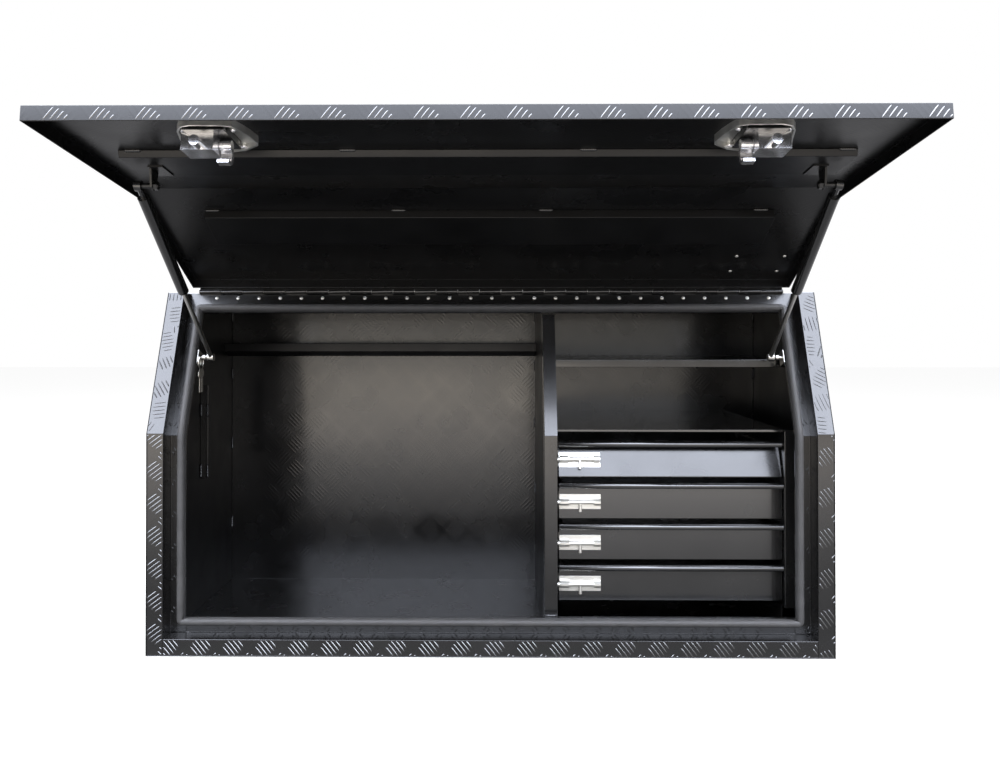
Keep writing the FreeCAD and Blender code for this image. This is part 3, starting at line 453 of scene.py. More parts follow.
class Groups:
    """Shader node groups shared by the finishes."""

    VECTOR = ("Vector", "NodeSocketVector", 0.0)
    _made: dict[str, bpy.types.NodeTree] = {}

    @classmethod
    def get(cls, name: str) -> bpy.types.NodeTree:
        """The named group, built once."""
        if name not in cls._made:
            cls._made[name] = getattr(cls, "_" + name)()
        return cls._made[name]

    @staticmethod
    def _start(name: str, inputs: Sequence[tuple[str, str, float]], outputs: Sequence[str]) -> tuple:
        """New group with its sockets, and the two end nodes.

        Args:
            name: name of the group.
            inputs: label, kind and value of each input.
            outputs: labels of the outputs, all of them plain values.

        Returns:
            Tree, its helper, input node and output node.
        """
        tree = bpy.data.node_groups.new(name, "ShaderNodeTree")
        for label, kind, value in inputs:
            socket = tree.interface.new_socket(name=label, in_out="INPUT", socket_type=kind)
            if kind == "NodeSocketFloat":
                socket.default_value = value
        for label in outputs:
            tree.interface.new_socket(name=label, in_out="OUTPUT", socket_type="NodeSocketFloat")
        n = Nodes(tree)
        return tree, n, n.add("NodeGroupInput"), n.add("NodeGroupOutput")

    @classmethod
    def _grain(cls) -> bpy.types.NodeTree:
        """Fine peel of a sprayed or cast skin and the broad mottle of its gloss.

        Height is a sum of two noises; Mottle is the broad one stretched to 0..1.
        """
        fine_share = 0.35
        tree, n, start, end = cls._start(
            "surface_grain",
            [cls.VECTOR, ("Fine", "NodeSocketFloat", 900.0), ("Broad", "NodeSocketFloat", 9.0)],
            ["Height", "Mottle"])
        place = start.outputs["Vector"]
        fine = n.noise(place, start.outputs["Fine"], 1.5)
        slow = n.noise(place, start.outputs["Broad"], 3.0)
        n.link(n.math("ADD", n.math("MULTIPLY", fine, fine_share), slow), end.inputs["Height"])
        spread = n.add("ShaderNodeMapRange")
        spread.inputs["From Min"].default_value = 0.3
        spread.inputs["From Max"].default_value = 0.7
        n.link(slow, spread.inputs["Value"])
        n.link(spread.outputs["Result"], end.inputs["Mottle"])
        return tree

    @classmethod
    def _telegraph(cls) -> bpy.types.NodeTree:
        """Five-bar tread showing faintly through a sheet.

        The sheet's own axes are U and V. In square cells turned by 45 degrees the bars run one way and then
        square to it; Height is a cosine across the bars, faded out at the edge of each group.
        """
        bars_in_cell = 5.7
        half_long, end_fade = 0.42, 8.0
        half_wide, side_fade = 0.45, 12.0
        tree, n, start, end = cls._start(
            "tread_telegraph",
            [cls.VECTOR, ("Normal", "NodeSocketVector", 0.0), ("Cell", "NodeSocketFloat", 0.04)],
            ["Height"])
        x, y, z = n.split(start.outputs["Vector"])
        nx, ny, nz = n.split(start.outputs["Normal"])
        end_on = n.math("ABSOLUTE", nx)
        flat_on = n.math("SUBTRACT", 1.0, end_on)
        along_u = n.math("MULTIPLY_ADD", x, flat_on, n.math("MULTIPLY", y, end_on))
        lean = n.math("SUBTRACT", n.math("MULTIPLY", z, ny), n.math("MULTIPLY", y, nz))
        along_v = n.math("MULTIPLY_ADD", z, end_on, lean)
        scale = n.math("MULTIPLY", start.outputs["Cell"], math.sqrt(2))
        u = n.math("DIVIDE", n.math("ADD", along_u, along_v), scale)
        v = n.math("DIVIDE", n.math("SUBTRACT", along_v, along_u), scale)
        iu, iv = n.math("FLOOR", u), n.math("FLOOR", v)
        parity = n.math("FLOORED_MODULO", n.math("ADD", iu, iv), 2.0)
        other = n.math("SUBTRACT", 1.0, parity)
        fu = n.math("SUBTRACT", n.math("SUBTRACT", u, iu), 0.5)
        fv = n.math("SUBTRACT", n.math("SUBTRACT", v, iv), 0.5)
        across = n.math("MULTIPLY_ADD", fu, parity, n.math("MULTIPLY", fv, other))
        along = n.math("MULTIPLY_ADD", fv, parity, n.math("MULTIPLY", fu, other))
        wave = n.math("COSINE", n.math("MULTIPLY", across, 2 * math.pi * bars_in_cell))
        bars = n.math("POWER", n.math("MULTIPLY_ADD", wave, 0.5, 0.5), 2.0)
        ends = n.math("MULTIPLY", n.math("SUBTRACT", half_long, n.math("ABSOLUTE", along)), end_fade)
        sides = n.math("MULTIPLY", n.math("SUBTRACT", half_wide, n.math("ABSOLUTE", across)), side_fade)
        fade = n.math("MAXIMUM", n.math("MINIMUM", n.math("MINIMUM", ends, sides), 1.0), 0.0)
        n.link(n.math("MULTIPLY", bars, fade), end.inputs["Height"])
        return tree

    @classmethod
    def _brush(cls) -> bpy.types.NodeTree:
        """Drawn or turned metal: noise stretched along X, as Height and as Streak."""
        tree, n, start, end = cls._start(
            "drawn_metal",
            [cls.VECTOR, ("Fine", "NodeSocketFloat", 400.0), ("Stretch", "NodeSocketFloat", 30.0)],
            ["Height", "Streak"])
        x, y, z = n.split(start.outputs["Vector"])
        merge = n.add("ShaderNodeCombineXYZ")
        n.link(x, merge.inputs[0])
        n.link(n.math("MULTIPLY", y, start.outputs["Stretch"]), merge.inputs[1])
        n.link(n.math("MULTIPLY", z, start.outputs["Stretch"]), merge.inputs[2])
        streak = n.noise(merge.outputs[0], start.outputs["Fine"])
        n.link(streak, end.inputs["Height"])
        n.link(streak, end.inputs["Streak"])
        return tree


@dataclass(frozen=True)
class Finish:
    """A finish with its numbers; builds its material once."""

    name: str
    slot: str = ""
    colour: tuple[float, float, float] = (0.02, 0.02, 0.02)
    second: tuple[float, float, float] = (0.02, 0.02, 0.02)
    rough: tuple[float, float] = (0.3, 0.4)
    metallic: float = 0.0
    ior: float = 1.5
    coat: float = 0.0
    coat_rough: float = 0.1
    specular: float = 0.5
    fine: float = 900.0
    broad: float = 9.0
    bump: float = 0.1
    bump_distance: float = 0.0004
    telegraph: float = 0.0
    brushed: bool = False
    stretch: float = 25.0

    def _surface(self, n: Nodes, place: Socket) -> tuple[Socket, Socket]:
        """Height and mask of the finish at a place, from the shared group.

        Args:
            n: helper of the material's tree.
            place: coordinates of the piece.

        Returns:
            Height and mask sockets.
        """
        group = n.add("ShaderNodeGroup")
        group.node_tree = Groups.get("brush" if self.brushed else "grain")
        n.link(place, group.inputs["Vector"])
        group.inputs["Fine"].default_value = self.fine
        if self.brushed:
            group.inputs["Stretch"].default_value = self.stretch
            return group.outputs["Height"], group.outputs["Streak"]
        group.inputs["Broad"].default_value = self.broad
        return group.outputs["Height"], group.outputs["Mottle"]

    def material(self) -> bpy.types.Material:
        """The material, from the store or newly built."""
        if self.name in bpy.data.materials:
            return bpy.data.materials[self.name]
        material = bpy.data.materials.new(self.name)
        material.use_nodes = True
        tree = material.node_tree
        shader = tree.nodes["Principled BSDF"]
        n = Nodes(tree)
        place = n.add("ShaderNodeTexCoord").outputs["Object"]
        height, mask = self._surface(n, place)
        blend = n.add("ShaderNodeMix", data_type="RGBA")
        blend.inputs["A"].default_value = (*self.colour, 1)
        blend.inputs["B"].default_value = (*self.second, 1)
        n.link(mask, blend.inputs["Factor"])
        n.link(blend.outputs["Result"], shader.inputs["Base Color"])
        span = n.add("ShaderNodeMapRange")
        span.inputs["To Min"].default_value, span.inputs["To Max"].default_value = self.rough
        n.link(mask, span.inputs["Value"])
        n.link(span.outputs["Result"], shader.inputs["Roughness"])
        shader.inputs["Metallic"].default_value = self.metallic
        shader.inputs["IOR"].default_value = self.ior
        shader.inputs["Specular IOR Level"].default_value = self.specular
        shader.inputs["Coat Weight"].default_value = self.coat
        shader.inputs["Coat Roughness"].default_value = self.coat_rough
        bump = n.add("ShaderNodeBump")
        bump.inputs["Strength"].default_value = self.bump
        bump.inputs["Distance"].default_value = self.bump_distance
        if self.telegraph:
            tread = n.add("ShaderNodeGroup")
            tread.node_tree = Groups.get("telegraph")
            n.link(place, tread.inputs["Vector"])
            n.link(n.add("ShaderNodeTexCoord").outputs["Normal"], tread.inputs["Normal"])
            height = n.math("ADD", height, n.math("MULTIPLY", tread.outputs["Height"], self.telegraph))
        n.link(height, bump.inputs["Height"])
        n.link(bump.outputs["Normal"], shader.inputs["Normal"])
        return material


GREY_BLACK = (0.0075, 0.0075, 0.008)
PALER_BLACK = (0.0105, 0.0105, 0.011)
BLACK = Finish("black_powder_coat", "black_coat", GREY_BLACK, PALER_BLACK, (0.2, 0.3),
               ior=1.55, coat=0.5, coat_rough=0.12, specular=0.5, fine=650.0, broad=14.0, bump=0.12)
PLATE = replace(BLACK, name="black_powder_coat_on_tread", bump=0.28, telegraph=1.0)
DRAWER = replace(BLACK, name="black_powder_coat_smooth", colour=(0.0085, 0.0085, 0.009),
                 second=(0.0115, 0.0115, 0.012), rough=(0.2, 0.28), ior=1.6, coat=1.0, coat_rough=0.1,
                 specular=0.6, bump=0.1)
TREAD_CREST = replace(BLACK, name="black_powder_coat_crest", rough=(0.16, 0.24), ior=1.85, coat=1.0,
                      coat_rough=0.1, specular=0.75)
# Painted shade: a darker, uncoated copy of the black coat that stands in for the shade falling inside the box
# and under the open lid.
PAINTED_SHADE_BLACK = replace(BLACK, name="black_powder_coat_painted_shade", colour=(0.006, 0.006, 0.0063),
               second=(0.008, 0.008, 0.0085), rough=(0.32, 0.42), ior=1.45, coat=0.0, coat_rough=0.1,
               specular=0.35)
# The lid sheet keeps the darker painted-shade colours of the copy above, for the shaded inner side of the
# open lid.
LID_SHEET = replace(PAINTED_SHADE_BLACK, name="black_powder_coat_lid", rough=(0.24, 0.34), ior=1.5, specular=0.4,
                    bump=0.2, telegraph=0.5)
BRACKET = Finish("dark_bracket", "zinc", (0.012, 0.012, 0.012), (0.018, 0.018, 0.018), (0.25, 0.35),
                 bump=0.08)
RUBBER = Finish("sealing_rubber", "seal_rubber", (0.062, 0.062, 0.065), (0.088, 0.088, 0.092), (0.55, 0.7),
                fine=1500.0, broad=40.0, bump=0.15, bump_distance=0.0002)
ZINC = Finish("zinc_plate", "zinc", (0.55, 0.54, 0.5), (0.66, 0.65, 0.62), (0.22, 0.38), metallic=1.0,
              fine=500.0, bump=0.06, brushed=True)
BOLT_ZINC = replace(ZINC, name="bright_zinc_plate", colour=(0.8, 0.79, 0.74), second=(0.88, 0.87, 0.84),
                    rough=(0.25, 0.4), metallic=0.7)
CHROME = Finish("bright_plated_casting", "chrome", (0.84, 0.84, 0.86), (0.9, 0.9, 0.92), (0.1, 0.22),
                metallic=0.82, fine=700.0, broad=60.0, bump=0.08)
ALLOY = Finish("dull_cast_alloy", "cast_alloy", (0.62, 0.62, 0.6), (0.74, 0.74, 0.72), (0.32, 0.45),
               metallic=0.8, fine=1200.0, broad=70.0, bump=0.2)
STAINLESS = Finish("polished_stainless", "stainless", (0.6, 0.6, 0.6), (0.7, 0.7, 0.69), (0.15, 0.28),
                   metallic=1.0, fine=350.0, bump=0.05, brushed=True)
GLOSS = Finish("gloss_black_strut", "strut_paint", (0.008, 0.008, 0.008), (0.012, 0.012, 0.012),
               (0.08, 0.14), coat=0.6, coat_rough=0.05, fine=1500.0, broad=30.0, bump=0.03)
# The parts inside the box and the lid's pans take the painted-shade copy of the black coat.
NODE_FINISHES = {"body_shell": PLATE, "lid_skin": LID_SHEET, "lid_pan_front": PAINTED_SHADE_BLACK, "lid_pan_slope": PAINTED_SHADE_BLACK,
                 "side_panel_left": PAINTED_SHADE_BLACK, "side_panel_right": PAINTED_SHADE_BLACK, "divider_panel": PAINTED_SHADE_BLACK,
                 "rear_ledge": PAINTED_SHADE_BLACK, "strut_bracket_up_left": BRACKET, "strut_bracket_up_right": BRACKET}
RECORD_FINISHES = {f.slot: f for f in (BLACK, RUBBER, ZINC, CHROME, ALLOY, STAINLESS, GLOSS)}


def dress(node: bpy.types.Object, finish: Finish, bevel: float = 0.4, crease_deg: float = 32.0) -> None:
    """Finish a node of the model: merged corners, small rounded edges and its material.

    Args:
        node: the model's own piece.
        finish: its finish.
        bevel: radius of its edges, in millimetres.
        crease_deg: edges sharper than this are rounded, and flatter ones are shaded smooth.
    """
    node.data.materials.clear()
    node.data.materials.append(finish.material())
    node.data.polygons.foreach_set("use_smooth", np.ones(len(node.data.polygons), bool))
    weld = node.modifiers.new("merge", "WELD")
    weld.merge_threshold = MERGE_WITHIN
    if bevel:
        rounding = node.modifiers.new("edges", "BEVEL")
        rounding.width = bevel * MM
        rounding.segments = 2
        rounding.limit_method = "ANGLE"
        rounding.angle_limit = math.radians(crease_deg)
        rounding.harden_normals = False
    normals = node.modifiers.new("normals", "WEIGHTED_NORMAL")
    normals.keep_sharp = True


@dataclass(frozen=True)
class Lamp:
    """A square soft lamp that stays out of reflections, in metres and watts."""

    name: str
    place: Triple
    size: float
    power: float

    def build(self, aim: Triple) -> None:
        """The lamp.

        Args:
            aim: the point that it is turned to.
        """
        data = bpy.data.lights.new(self.name, "AREA")
        data.shape, data.size, data.energy = "SQUARE", self.size, self.power
        lamp = bpy.data.objects.new(self.name, data)
        lamp.location = self.place
        way = np.array(aim) - np.array(self.place)
        lamp.rotation_euler = Vector(way.tolist()).to_track_quat("-Z", "Y").to_euler()
        lamp.visible_glossy = False
        bpy.context.scene.collection.objects.link(lamp)


@dataclass
class Stage:
    """Floor, backdrop, daylight and camera, in metres.

    sky holds colours by the upward part of a direction; ground holds colours by the distance in front of the
    object, as a share of ground_reach.
    """

    camera_place: Triple = (0.0202, -1.7442, 0.5578)
    yaw_deg: float = 0.585
    pitch_deg: float = 0.529
    sensor: float = 36.0
    lens: float = 31.08
    shift: tuple[float, float] = (0.0080, -0.0579)
    white: Triple = (1.0, 1.0, 1.0)
    daylight: float = 0.42
    sky_gloss: float = 8.4
    sky: tuple = ((0.0, (0.11, 0.107, 0.1)), (0.1, (0.1, 0.1, 0.1)), (0.24, (0.2, 0.21, 0.24)),
                  (0.42, (0.92, 0.98, 1.13)), (0.75, (1.0, 1.06, 1.22)), (1.0, (0.9, 0.96, 1.1)))
    floor_half: float = 14.0
    floor_glow: float = 0.62
    floor_pale: Triple = (0.8, 0.8, 0.8)
    floor_bounce: Triple = (0.35, 0.35, 0.35)
    ground_gloss: float = 5.5
    ground_reach: float = 6.0
    ground: tuple = ((0.0, (0.1, 0.1, 0.104)), (0.05, (0.075, 0.075, 0.077)), (0.125, (0.13, 0.128, 0.13)),
                     (0.24, (0.25, 0.242, 0.238)), (0.45, (0.5, 0.46, 0.43)), (0.7, (0.66, 0.6, 0.52)),
                     (1.0, (0.7, 0.63, 0.54)))
    shade_right: tuple[float, float] = (0.3, 0.8)
    shade_far: tuple[float, float] = (3.2, 4.0)
    shade_depth: float = 0.75
    aim: Triple = (0.0, 0.0, 0.3)
    lights: tuple[Lamp, ...] = (Lamp("key_lamp", (-1.6, -2.6, 2.6), 2.2, 130.0),
                                Lamp("fill_lamp", (2.2, -2.4, 2.2), 2.0, 80.0),
                                Lamp("top_lamp", (0.0, 0.4, 3.4), 2.4, 60.0))

    def camera(self) -> None:
        """Camera at the viewpoint of the photograph."""
        data = bpy.data.cameras.new("camera")
        data.sensor_width, data.sensor_fit, data.lens = self.sensor, "HORIZONTAL", self.lens
        data.shift_x, data.shift_y = self.shift
        data.clip_start, data.clip_end = 0.05, 60.0
        camera = bpy.data.objects.new("camera", data)
        camera.location = self.camera_place
        camera.rotation_euler = (math.radians(90 + self.pitch_deg), 0.0, math.radians(self.yaw_deg))
        bpy.context.scene.collection.objects.link(camera)
        bpy.context.scene.camera = camera

    def world(self) -> None:
        """Even daylight: white to the camera; in reflections bright above and dim at eye level."""
        world = bpy.data.worlds.new("daylight")
        bpy.context.scene.world = world
        world.use_nodes = True
        tree = world.node_tree
        tree.nodes.remove(tree.nodes["Background"])
        n = Nodes(tree)
        path = n.add("ShaderNodeLightPath")
        upward = n.split(n.add("ShaderNodeTexCoord").outputs["Generated"])[2]
        kind = "ShaderNodeBackground"
        plain = n.glow(kind, self.white, self.daylight)
        mirrored = n.glow(kind, n.ramp(upward, self.sky, smooth=True), self.sky_gloss)
        backdrop = n.glow(kind, self.white, 1.0)
        unseen = n.either(path.outputs["Is Glossy Ray"], plain, mirrored)
        seen = n.either(path.outputs["Is Camera Ray"], unseen, backdrop)
        n.link(seen, tree.nodes["World Output"].inputs["Surface"])

    def _ground_strength(self, n: Nodes, right: Socket, distance: Socket) -> Socket:
        """Strength of the mirrored ground, darker far away on the right.

        Args:
            n: helper of the floor's tree.
            right: X of the place.
            distance: how far it is in front of the object.

        Returns:
            Strength socket.
        """
        aside = n.step(right, *self.shade_right)
        far = n.step(distance, *self.shade_far)
        shade = n.math("MULTIPLY", n.math("MULTIPLY", aside, far), -self.shade_depth)
        return n.math("MULTIPLY", n.math("ADD", shade, 1.0), self.ground_gloss)

    def _floor_material(self) -> bpy.types.Material:
        """White to the camera with the object's shadow, a plain matt to light, ground to reflections."""
        material = bpy.data.materials.new("pale_floor")
        material.use_nodes = True
        tree = material.node_tree
        tree.nodes.remove(tree.nodes["Principled BSDF"])
        n = Nodes(tree)
        path = n.add("ShaderNodeLightPath")
        x, y, _ = n.split(n.add("ShaderNodeTexCoord").outputs["Object"])
        matts = []
        for colour in (self.floor_pale, self.floor_bounce):
            matt = n.add("ShaderNodeBsdfDiffuse")
            matt.inputs["Color"].default_value = (*colour, 1)
            matts.append(matt.outputs[0])
        shown = n.add("ShaderNodeAddShader")
        n.link(matts[0], shown.inputs[0])
        n.link(n.glow("ShaderNodeEmission", self.white, self.floor_glow), shown.inputs[1])
        distance = n.math("SUBTRACT", SIZES.front * MM, y)
        colour = n.ramp(n.math("DIVIDE", distance, self.ground_reach), self.ground)
        ground = n.glow("ShaderNodeEmission", colour, self._ground_strength(n, x, distance))
        unmirrored = n.either(path.outputs["Is Camera Ray"], matts[1], shown.outputs[0])
        surface = n.either(path.outputs["Is Glossy Ray"], unmirrored, ground)
        n.link(surface, tree.nodes["Material Output"].inputs["Surface"])
        return material

    def floor(self) -> None:
        """Square floor under the object."""
        half = self.floor_half
        corners = [(-half, -half, 0), (half, -half, 0), (half, half, 0), (-half, half, 0)]
        mesh = bpy.data.meshes.new("floor")
        mesh.from_pydata(corners, [], [[0, 1, 2, 3]])
        mesh.materials.append(self._floor_material())
        floor = bpy.data.objects.new("floor", mesh)
        bpy.context.scene.collection.objects.link(floor)

    def build(self) -> None:
        """Everything that isn't the object."""
        self.camera()
        self.world()
        self.floor()
        for lamp in self.lights:
            lamp.build(self.aim)


@dataclass(frozen=True)
class Group:
    """One group of parallel tread bars, in millimetres and degrees on its panel."""

    u: float
    v: float
    angle: float
    bars: int = 5
    length: float = 31.0


@dataclass(frozen=True)
class Lattice:
    """Groups in rows and columns, with those of a second direction at the half steps."""

    pitch: tuple[float, float] = (56.6, 70.7)
    phase: tuple[float, float] = (14.0, 20.0)
    angles: tuple[float, ...] = (53.0, 127.0)
    reach: float = 24.0

    def groups(self, width: float, height: float) -> list[Group]:
        """Groups whose middles lie on a panel or close to it.

        Args:
            width: size of the panel along u.
            height: size of the panel along v.

        Returns:
            The groups, also those that the edges of the panel cut.
        """
        found = []
        for kind, angle in enumerate(self.angles):
            steps = []
            for pitch, phase, size in zip(self.pitch, self.phase, (width, height)):
                start = phase + kind * pitch / 2
                first = math.ceil((-self.reach - start) / pitch)
                last = math.floor((size + self.reach - start) / pitch)
                steps.append([start + pitch * k for k in range(first, last + 1)])
            found += [Group(u, v, angle) for u in steps[0] for v in steps[1]]
        return found


@dataclass(frozen=True)
class Panel:
    """A flat stretch of tread plate, in millimetres."""

    name: str
    body: str
    origin: Triple
    u: Triple
    v: Triple
    width: float
    height: float
    on_lid: bool = False
    crest: bool = False
    lattice: Lattice | None = Lattice()
    placed: tuple[Group, ...] = ()
    keep_out: tuple = ()

    def groups(self) -> list[Group]:
        """All groups of the panel."""
        found = list(self.placed)
        if self.lattice:
            found += self.lattice.groups(self.width, self.height)
        return found


@dataclass(frozen=True)
class BorderTread:
    """Groups on one front border: a lattice and tips below the bend, and placed ones above it and behind."""

    lattice: Lattice
    tip: Group
    tip_step: float
    slope: tuple[Group, ...]
    bit: Group
    bit_step: float
    bit_count: int
    slope_bits: tuple[Group, ...]

    @property
    def tips(self) -> tuple[Group, ...]:
        """Bar tips along one edge, at even steps."""
        return tuple(replace(self.tip, v=self.tip.v + self.tip_step * k) for k in range(-1, 6))

    @property
    def bits(self) -> tuple[Group, ...]:
        """Ends of bars on the flange behind, at even steps."""
        return tuple(replace(self.bit, v=self.bit.v + self.bit_step * k) for k in range(self.bit_count))


BORDERS = {
    Side.LEFT: BorderTread(
        Lattice((56.6, 56.6), (17.5, 38.7), (37.0,)), Group(40.0, 67.0, 135), 56.6,
        (Group(15, 263, 92, 4, 20), Group(20.4, 226, 6, 5, 24), Group(12.9, 173, 10, 6, 24),
         Group(16.6, 132, 118, 4, 24), Group(14.8, 82, 124, 5, 30), Group(18.3, 43, 6, 5, 28),
         Group(2.2, 15, 60, 3, 16), Group(29, 197, 100, 3, 14)),
        Group(5.5, 39.0, 132, 2, 10), 56.8, 6,
        (Group(7.3, 138, 14, 5, 11), Group(5.3, 170, 60, 3, 12), Group(5, 66, 14, 5, 11),
         Group(6, 215, 100, 3, 12), Group(5, 20, 60, 3, 10))),
    Side.RIGHT: BorderTread(
        Lattice((56.0, 70.0), (12.6, 68.0), (127.0,)), Group(40.6, 33.0, 50), 70.0,
        (Group(20.3, 247, 156, 5, 26), Group(15, 207, 98, 5, 30), Group(9.4, 164.6, 178, 6, 16),
         Group(27, 154, 66, 2, 26), Group(20.1, 104, 150, 6, 28), Group(16, 58, 108, 5, 32),
         Group(9.3, 17, 175, 5, 18), Group(3, 130, 120, 2, 12)),
        Group(22.5, 7.3, 48, 2, 10), 70.6, 5,
        (Group(21.5, 216, 170, 5, 11), Group(21, 173, 120, 3, 12), Group(21, 74, 166, 5, 11),
         Group(21, 120, 110, 3, 12), Group(21, 25, 120, 3, 10))),
}


@dataclass
class TreadPlate:
    """Five-bar tread: low rounded bars in groups that lie two ways.

    The free edge of the lid has the lattice of the unseen faces.
    """

    bar_wide: float = 2.3
    bar_tall: float = 0.9
    gap: float = 6.8
    sunk: float = 0.08
    edge_gap: float = 0.4
    shortest: float = 3.0
    clear: float = 14.0
    outer_loss: float = 0.06
    end_taper: float = 0.12
    bend_gap: float = 1.0
    flange_wide: float = 26.0
    flange_long: float = 262.0
    roof_start: float = 141.0
    floor_half: float = 541.0
    floor_tall: float = 27.0
    lock_half: float = 55.0
    lock_below: float = 56.0
    lock_above: float = 54.0
    finish: Finish = BLACK
    crest: Finish = TREAD_CREST

    def bar_lines(self, panel: Panel) -> tuple[np.ndarray, ...]:
        """Where the bars of a panel lie, cut short where the panel ends.

        Args:
            panel: where the bars go.

        Returns:
            Middles, ways along, ways across, and the places of both ends along each bar.
        """
        rows = []
        for group in panel.groups():
            a = math.radians(group.angle)
            along = np.array([math.cos(a), math.sin(a)])
            across = np.array([-along[1], along[0]])
            for k in range(group.bars):
                step = k - (group.bars - 1) / 2
                shorter = 1 - self.outer_loss * step ** 2 if group.bars > 3 else 1.0
                mid = np.array([group.u, group.v]) + across * step * self.gap
                rows.append((*mid, *along, *across, group.length / 2 * shorter))
        rows = np.array(rows)
        mid, way, side, half = rows[:, :2], rows[:, 2:4], rows[:, 4:6], rows[:, 6]
        low, high = -half.copy(), half.copy()
        edge = self.bar_wide / 2 + self.edge_gap
        for axis, limit in ((0, panel.width), (1, panel.height)):
            w = np.where(abs(way[:, axis]) < 1e-6, 1e-6, way[:, axis])
            a = (edge - mid[:, axis]) / w
            b = (limit - edge - mid[:, axis]) / w
            low = np.maximum(low, np.minimum(a, b))
            high = np.minimum(high, np.maximum(a, b))
        keep = high - low > self.shortest
        for u0, u1, v0, v1 in panel.keep_out:
            in_u = (mid[:, 0] > u0 - self.clear) & (mid[:, 0] < u1 + self.clear)
            in_v = (mid[:, 1] > v0 - self.clear) & (mid[:, 1] < v1 + self.clear)
            keep &= ~(in_u & in_v)
        return mid[keep], way[keep], side[keep], low[keep], high[keep]

    def bars(self, panel: Panel) -> tuple[np.ndarray, np.ndarray, int]:
        """Points and faces of all bars on a panel.

        A bar is a mound: at the station s along it the half width is w(1-s^4)^(1/2) and the ridge is
        h(1-s^4)^(1/2) high. Its foot is sunk a little into the sheet.

        Args:
            panel: where the bars go.

        Returns:
            Points in millimetres, faces, and how many bars there are.
        """
        mid, way, side, low, high = self.bar_lines(panel)
        s = np.array([-1.0, -0.82, -0.4, 0.4, 0.82, 1.0])
        taper = np.sqrt(np.clip(1 - s ** 4, 0, 1))
        taper[[0, -1]] = self.end_taper
        t = np.array([-1.0, -0.55, 0.0, 0.55, 1.0])
        lift = np.sqrt(np.clip(1 - t ** 2, 0, 1)) * 0.9
        lift[2] = 1.0
        place = (low + high)[:, None] / 2 + (high - low)[:, None] / 2 * s[None]
        spread = self.bar_wide / 2 * taper[None, :, None] * t[None, None]
        flat = mid[:, None, None] + way[:, None, None] * place[:, :, None, None] \
            + side[:, None, None] * spread[..., None]
        rise = self.bar_tall * taper[None, :, None] * lift[None, None] * np.ones((len(mid), 1, 1)) - self.sunk
        u, v = np.array(panel.u, float), np.array(panel.v, float)
        points = np.array(panel.origin, float) + flat[..., :1] * u + flat[..., 1:] * v
        points = points + rise[..., None] * np.cross(u, v)
        first = (np.arange(len(mid)) * len(s) * len(t))[:, None, None]
        faces = (grid_faces(len(s), len(t))[None] + first).reshape(-1, 4)
        return points.reshape(-1, 3), faces, len(mid)

    def lay(self, panel: Panel) -> None:
        """Bars of a panel as one piece.

        Args:
            panel: the panel.
        """
        points, faces, count = self.bars(panel)
        if panel.on_lid:
            points = SIZES.opened(points)
        finish = self.crest if panel.crest else self.finish
        make_mesh("tread_" + panel.name, points, faces, panel.body, finish)
        LOG.info("tread %s: %d bars", panel.name, count)

    def border_panels(self, side: Side) -> list[Panel]:
        """Front border, its slope and the flange behind it, with the groups where the object has them.

        Args:
            side: which end of the box.

        Returns:
            The panels.
        """
        s = SIZES
        up_slope = (0, *s.slope)
        left = side is Side.LEFT
        x0 = -s.half_width if left else s.half_width - s.border
        slope_long = math.hypot(s.slope_depth, s.height - s.fold)
        y, z = s.bend(s.recess)
        tread = BORDERS[side]
        flange_x = -s.opening_half if left else s.opening_half - self.flange_wide
        return [
            Panel("border_" + side.label, "base", (x0, s.front, 0), X_WAY, UP, s.border,
                  s.fold - self.bend_gap, lattice=tread.lattice, placed=tread.tips, crest=True),
            Panel("border_slope_" + side.label, "base", (x0, s.front, s.fold), X_WAY, up_slope, s.border,
                  slope_long, lattice=None, placed=tread.slope),
            Panel("flange_" + side.label, "base", (flange_x, y, s.border), X_WAY, UP, self.flange_wide,
                  z - s.border - self.bend_gap, lattice=None, placed=tread.bits),
            Panel("flange_slope_" + side.label, "base", (flange_x, y, z + self.bend_gap / 2), X_WAY, up_slope,
                  self.flange_wide, self.flange_long, lattice=None, placed=tread.slope_bits),
        ]

    def end_panels(self, side: Side) -> list[Panel]:
        """Outer end of the box and the end flanges of the lid.

        Args:
            side: which end of the box.

        Returns:
            The panels.
        """
        s = SIZES
        ty, tz = s.slope
        left = side is Side.LEFT
        out = (0, -1, 0) if left else Y_WAY
        slant = (0, -tz, ty) if left else (0, tz, -ty)
        x = side.value * s.half_width
        rear_long = s.depth - s.slope_depth
        rear = (x, s.front + s.depth if left else s.front + s.slope_depth, 0)
        fore = (x, s.front + s.slope_depth if left else s.front, 0)
        d = s.lid_inset
        lid_x = side.value * s.lid_half
        _, z = s.bend(d)
        low = (lid_x, s.front + d + (s.lid_flange if left else 0), s.lid_foot)
        high = (lid_x, *s.on_slope(1.5 * self.bend_gap, d + s.lid_flange if left else d))
        low_long = z - s.lid_foot - 3 * self.bend_gap
        return [
            Panel("side_" + side.label, "base", rear, out, UP, rear_long, s.height),
            Panel("side_front_" + side.label, "base", fore, out, UP, s.slope_depth, s.fold),
            Panel("lid_edge_" + side.label, "lid", low, out, UP, s.lid_flange, low_long, True),
            Panel("lid_edge_slope_" + side.label, "lid", high, slant, (0, ty, tz), s.lid_flange,
                  s.lid_end - 4 * self.bend_gap, True),
        ]

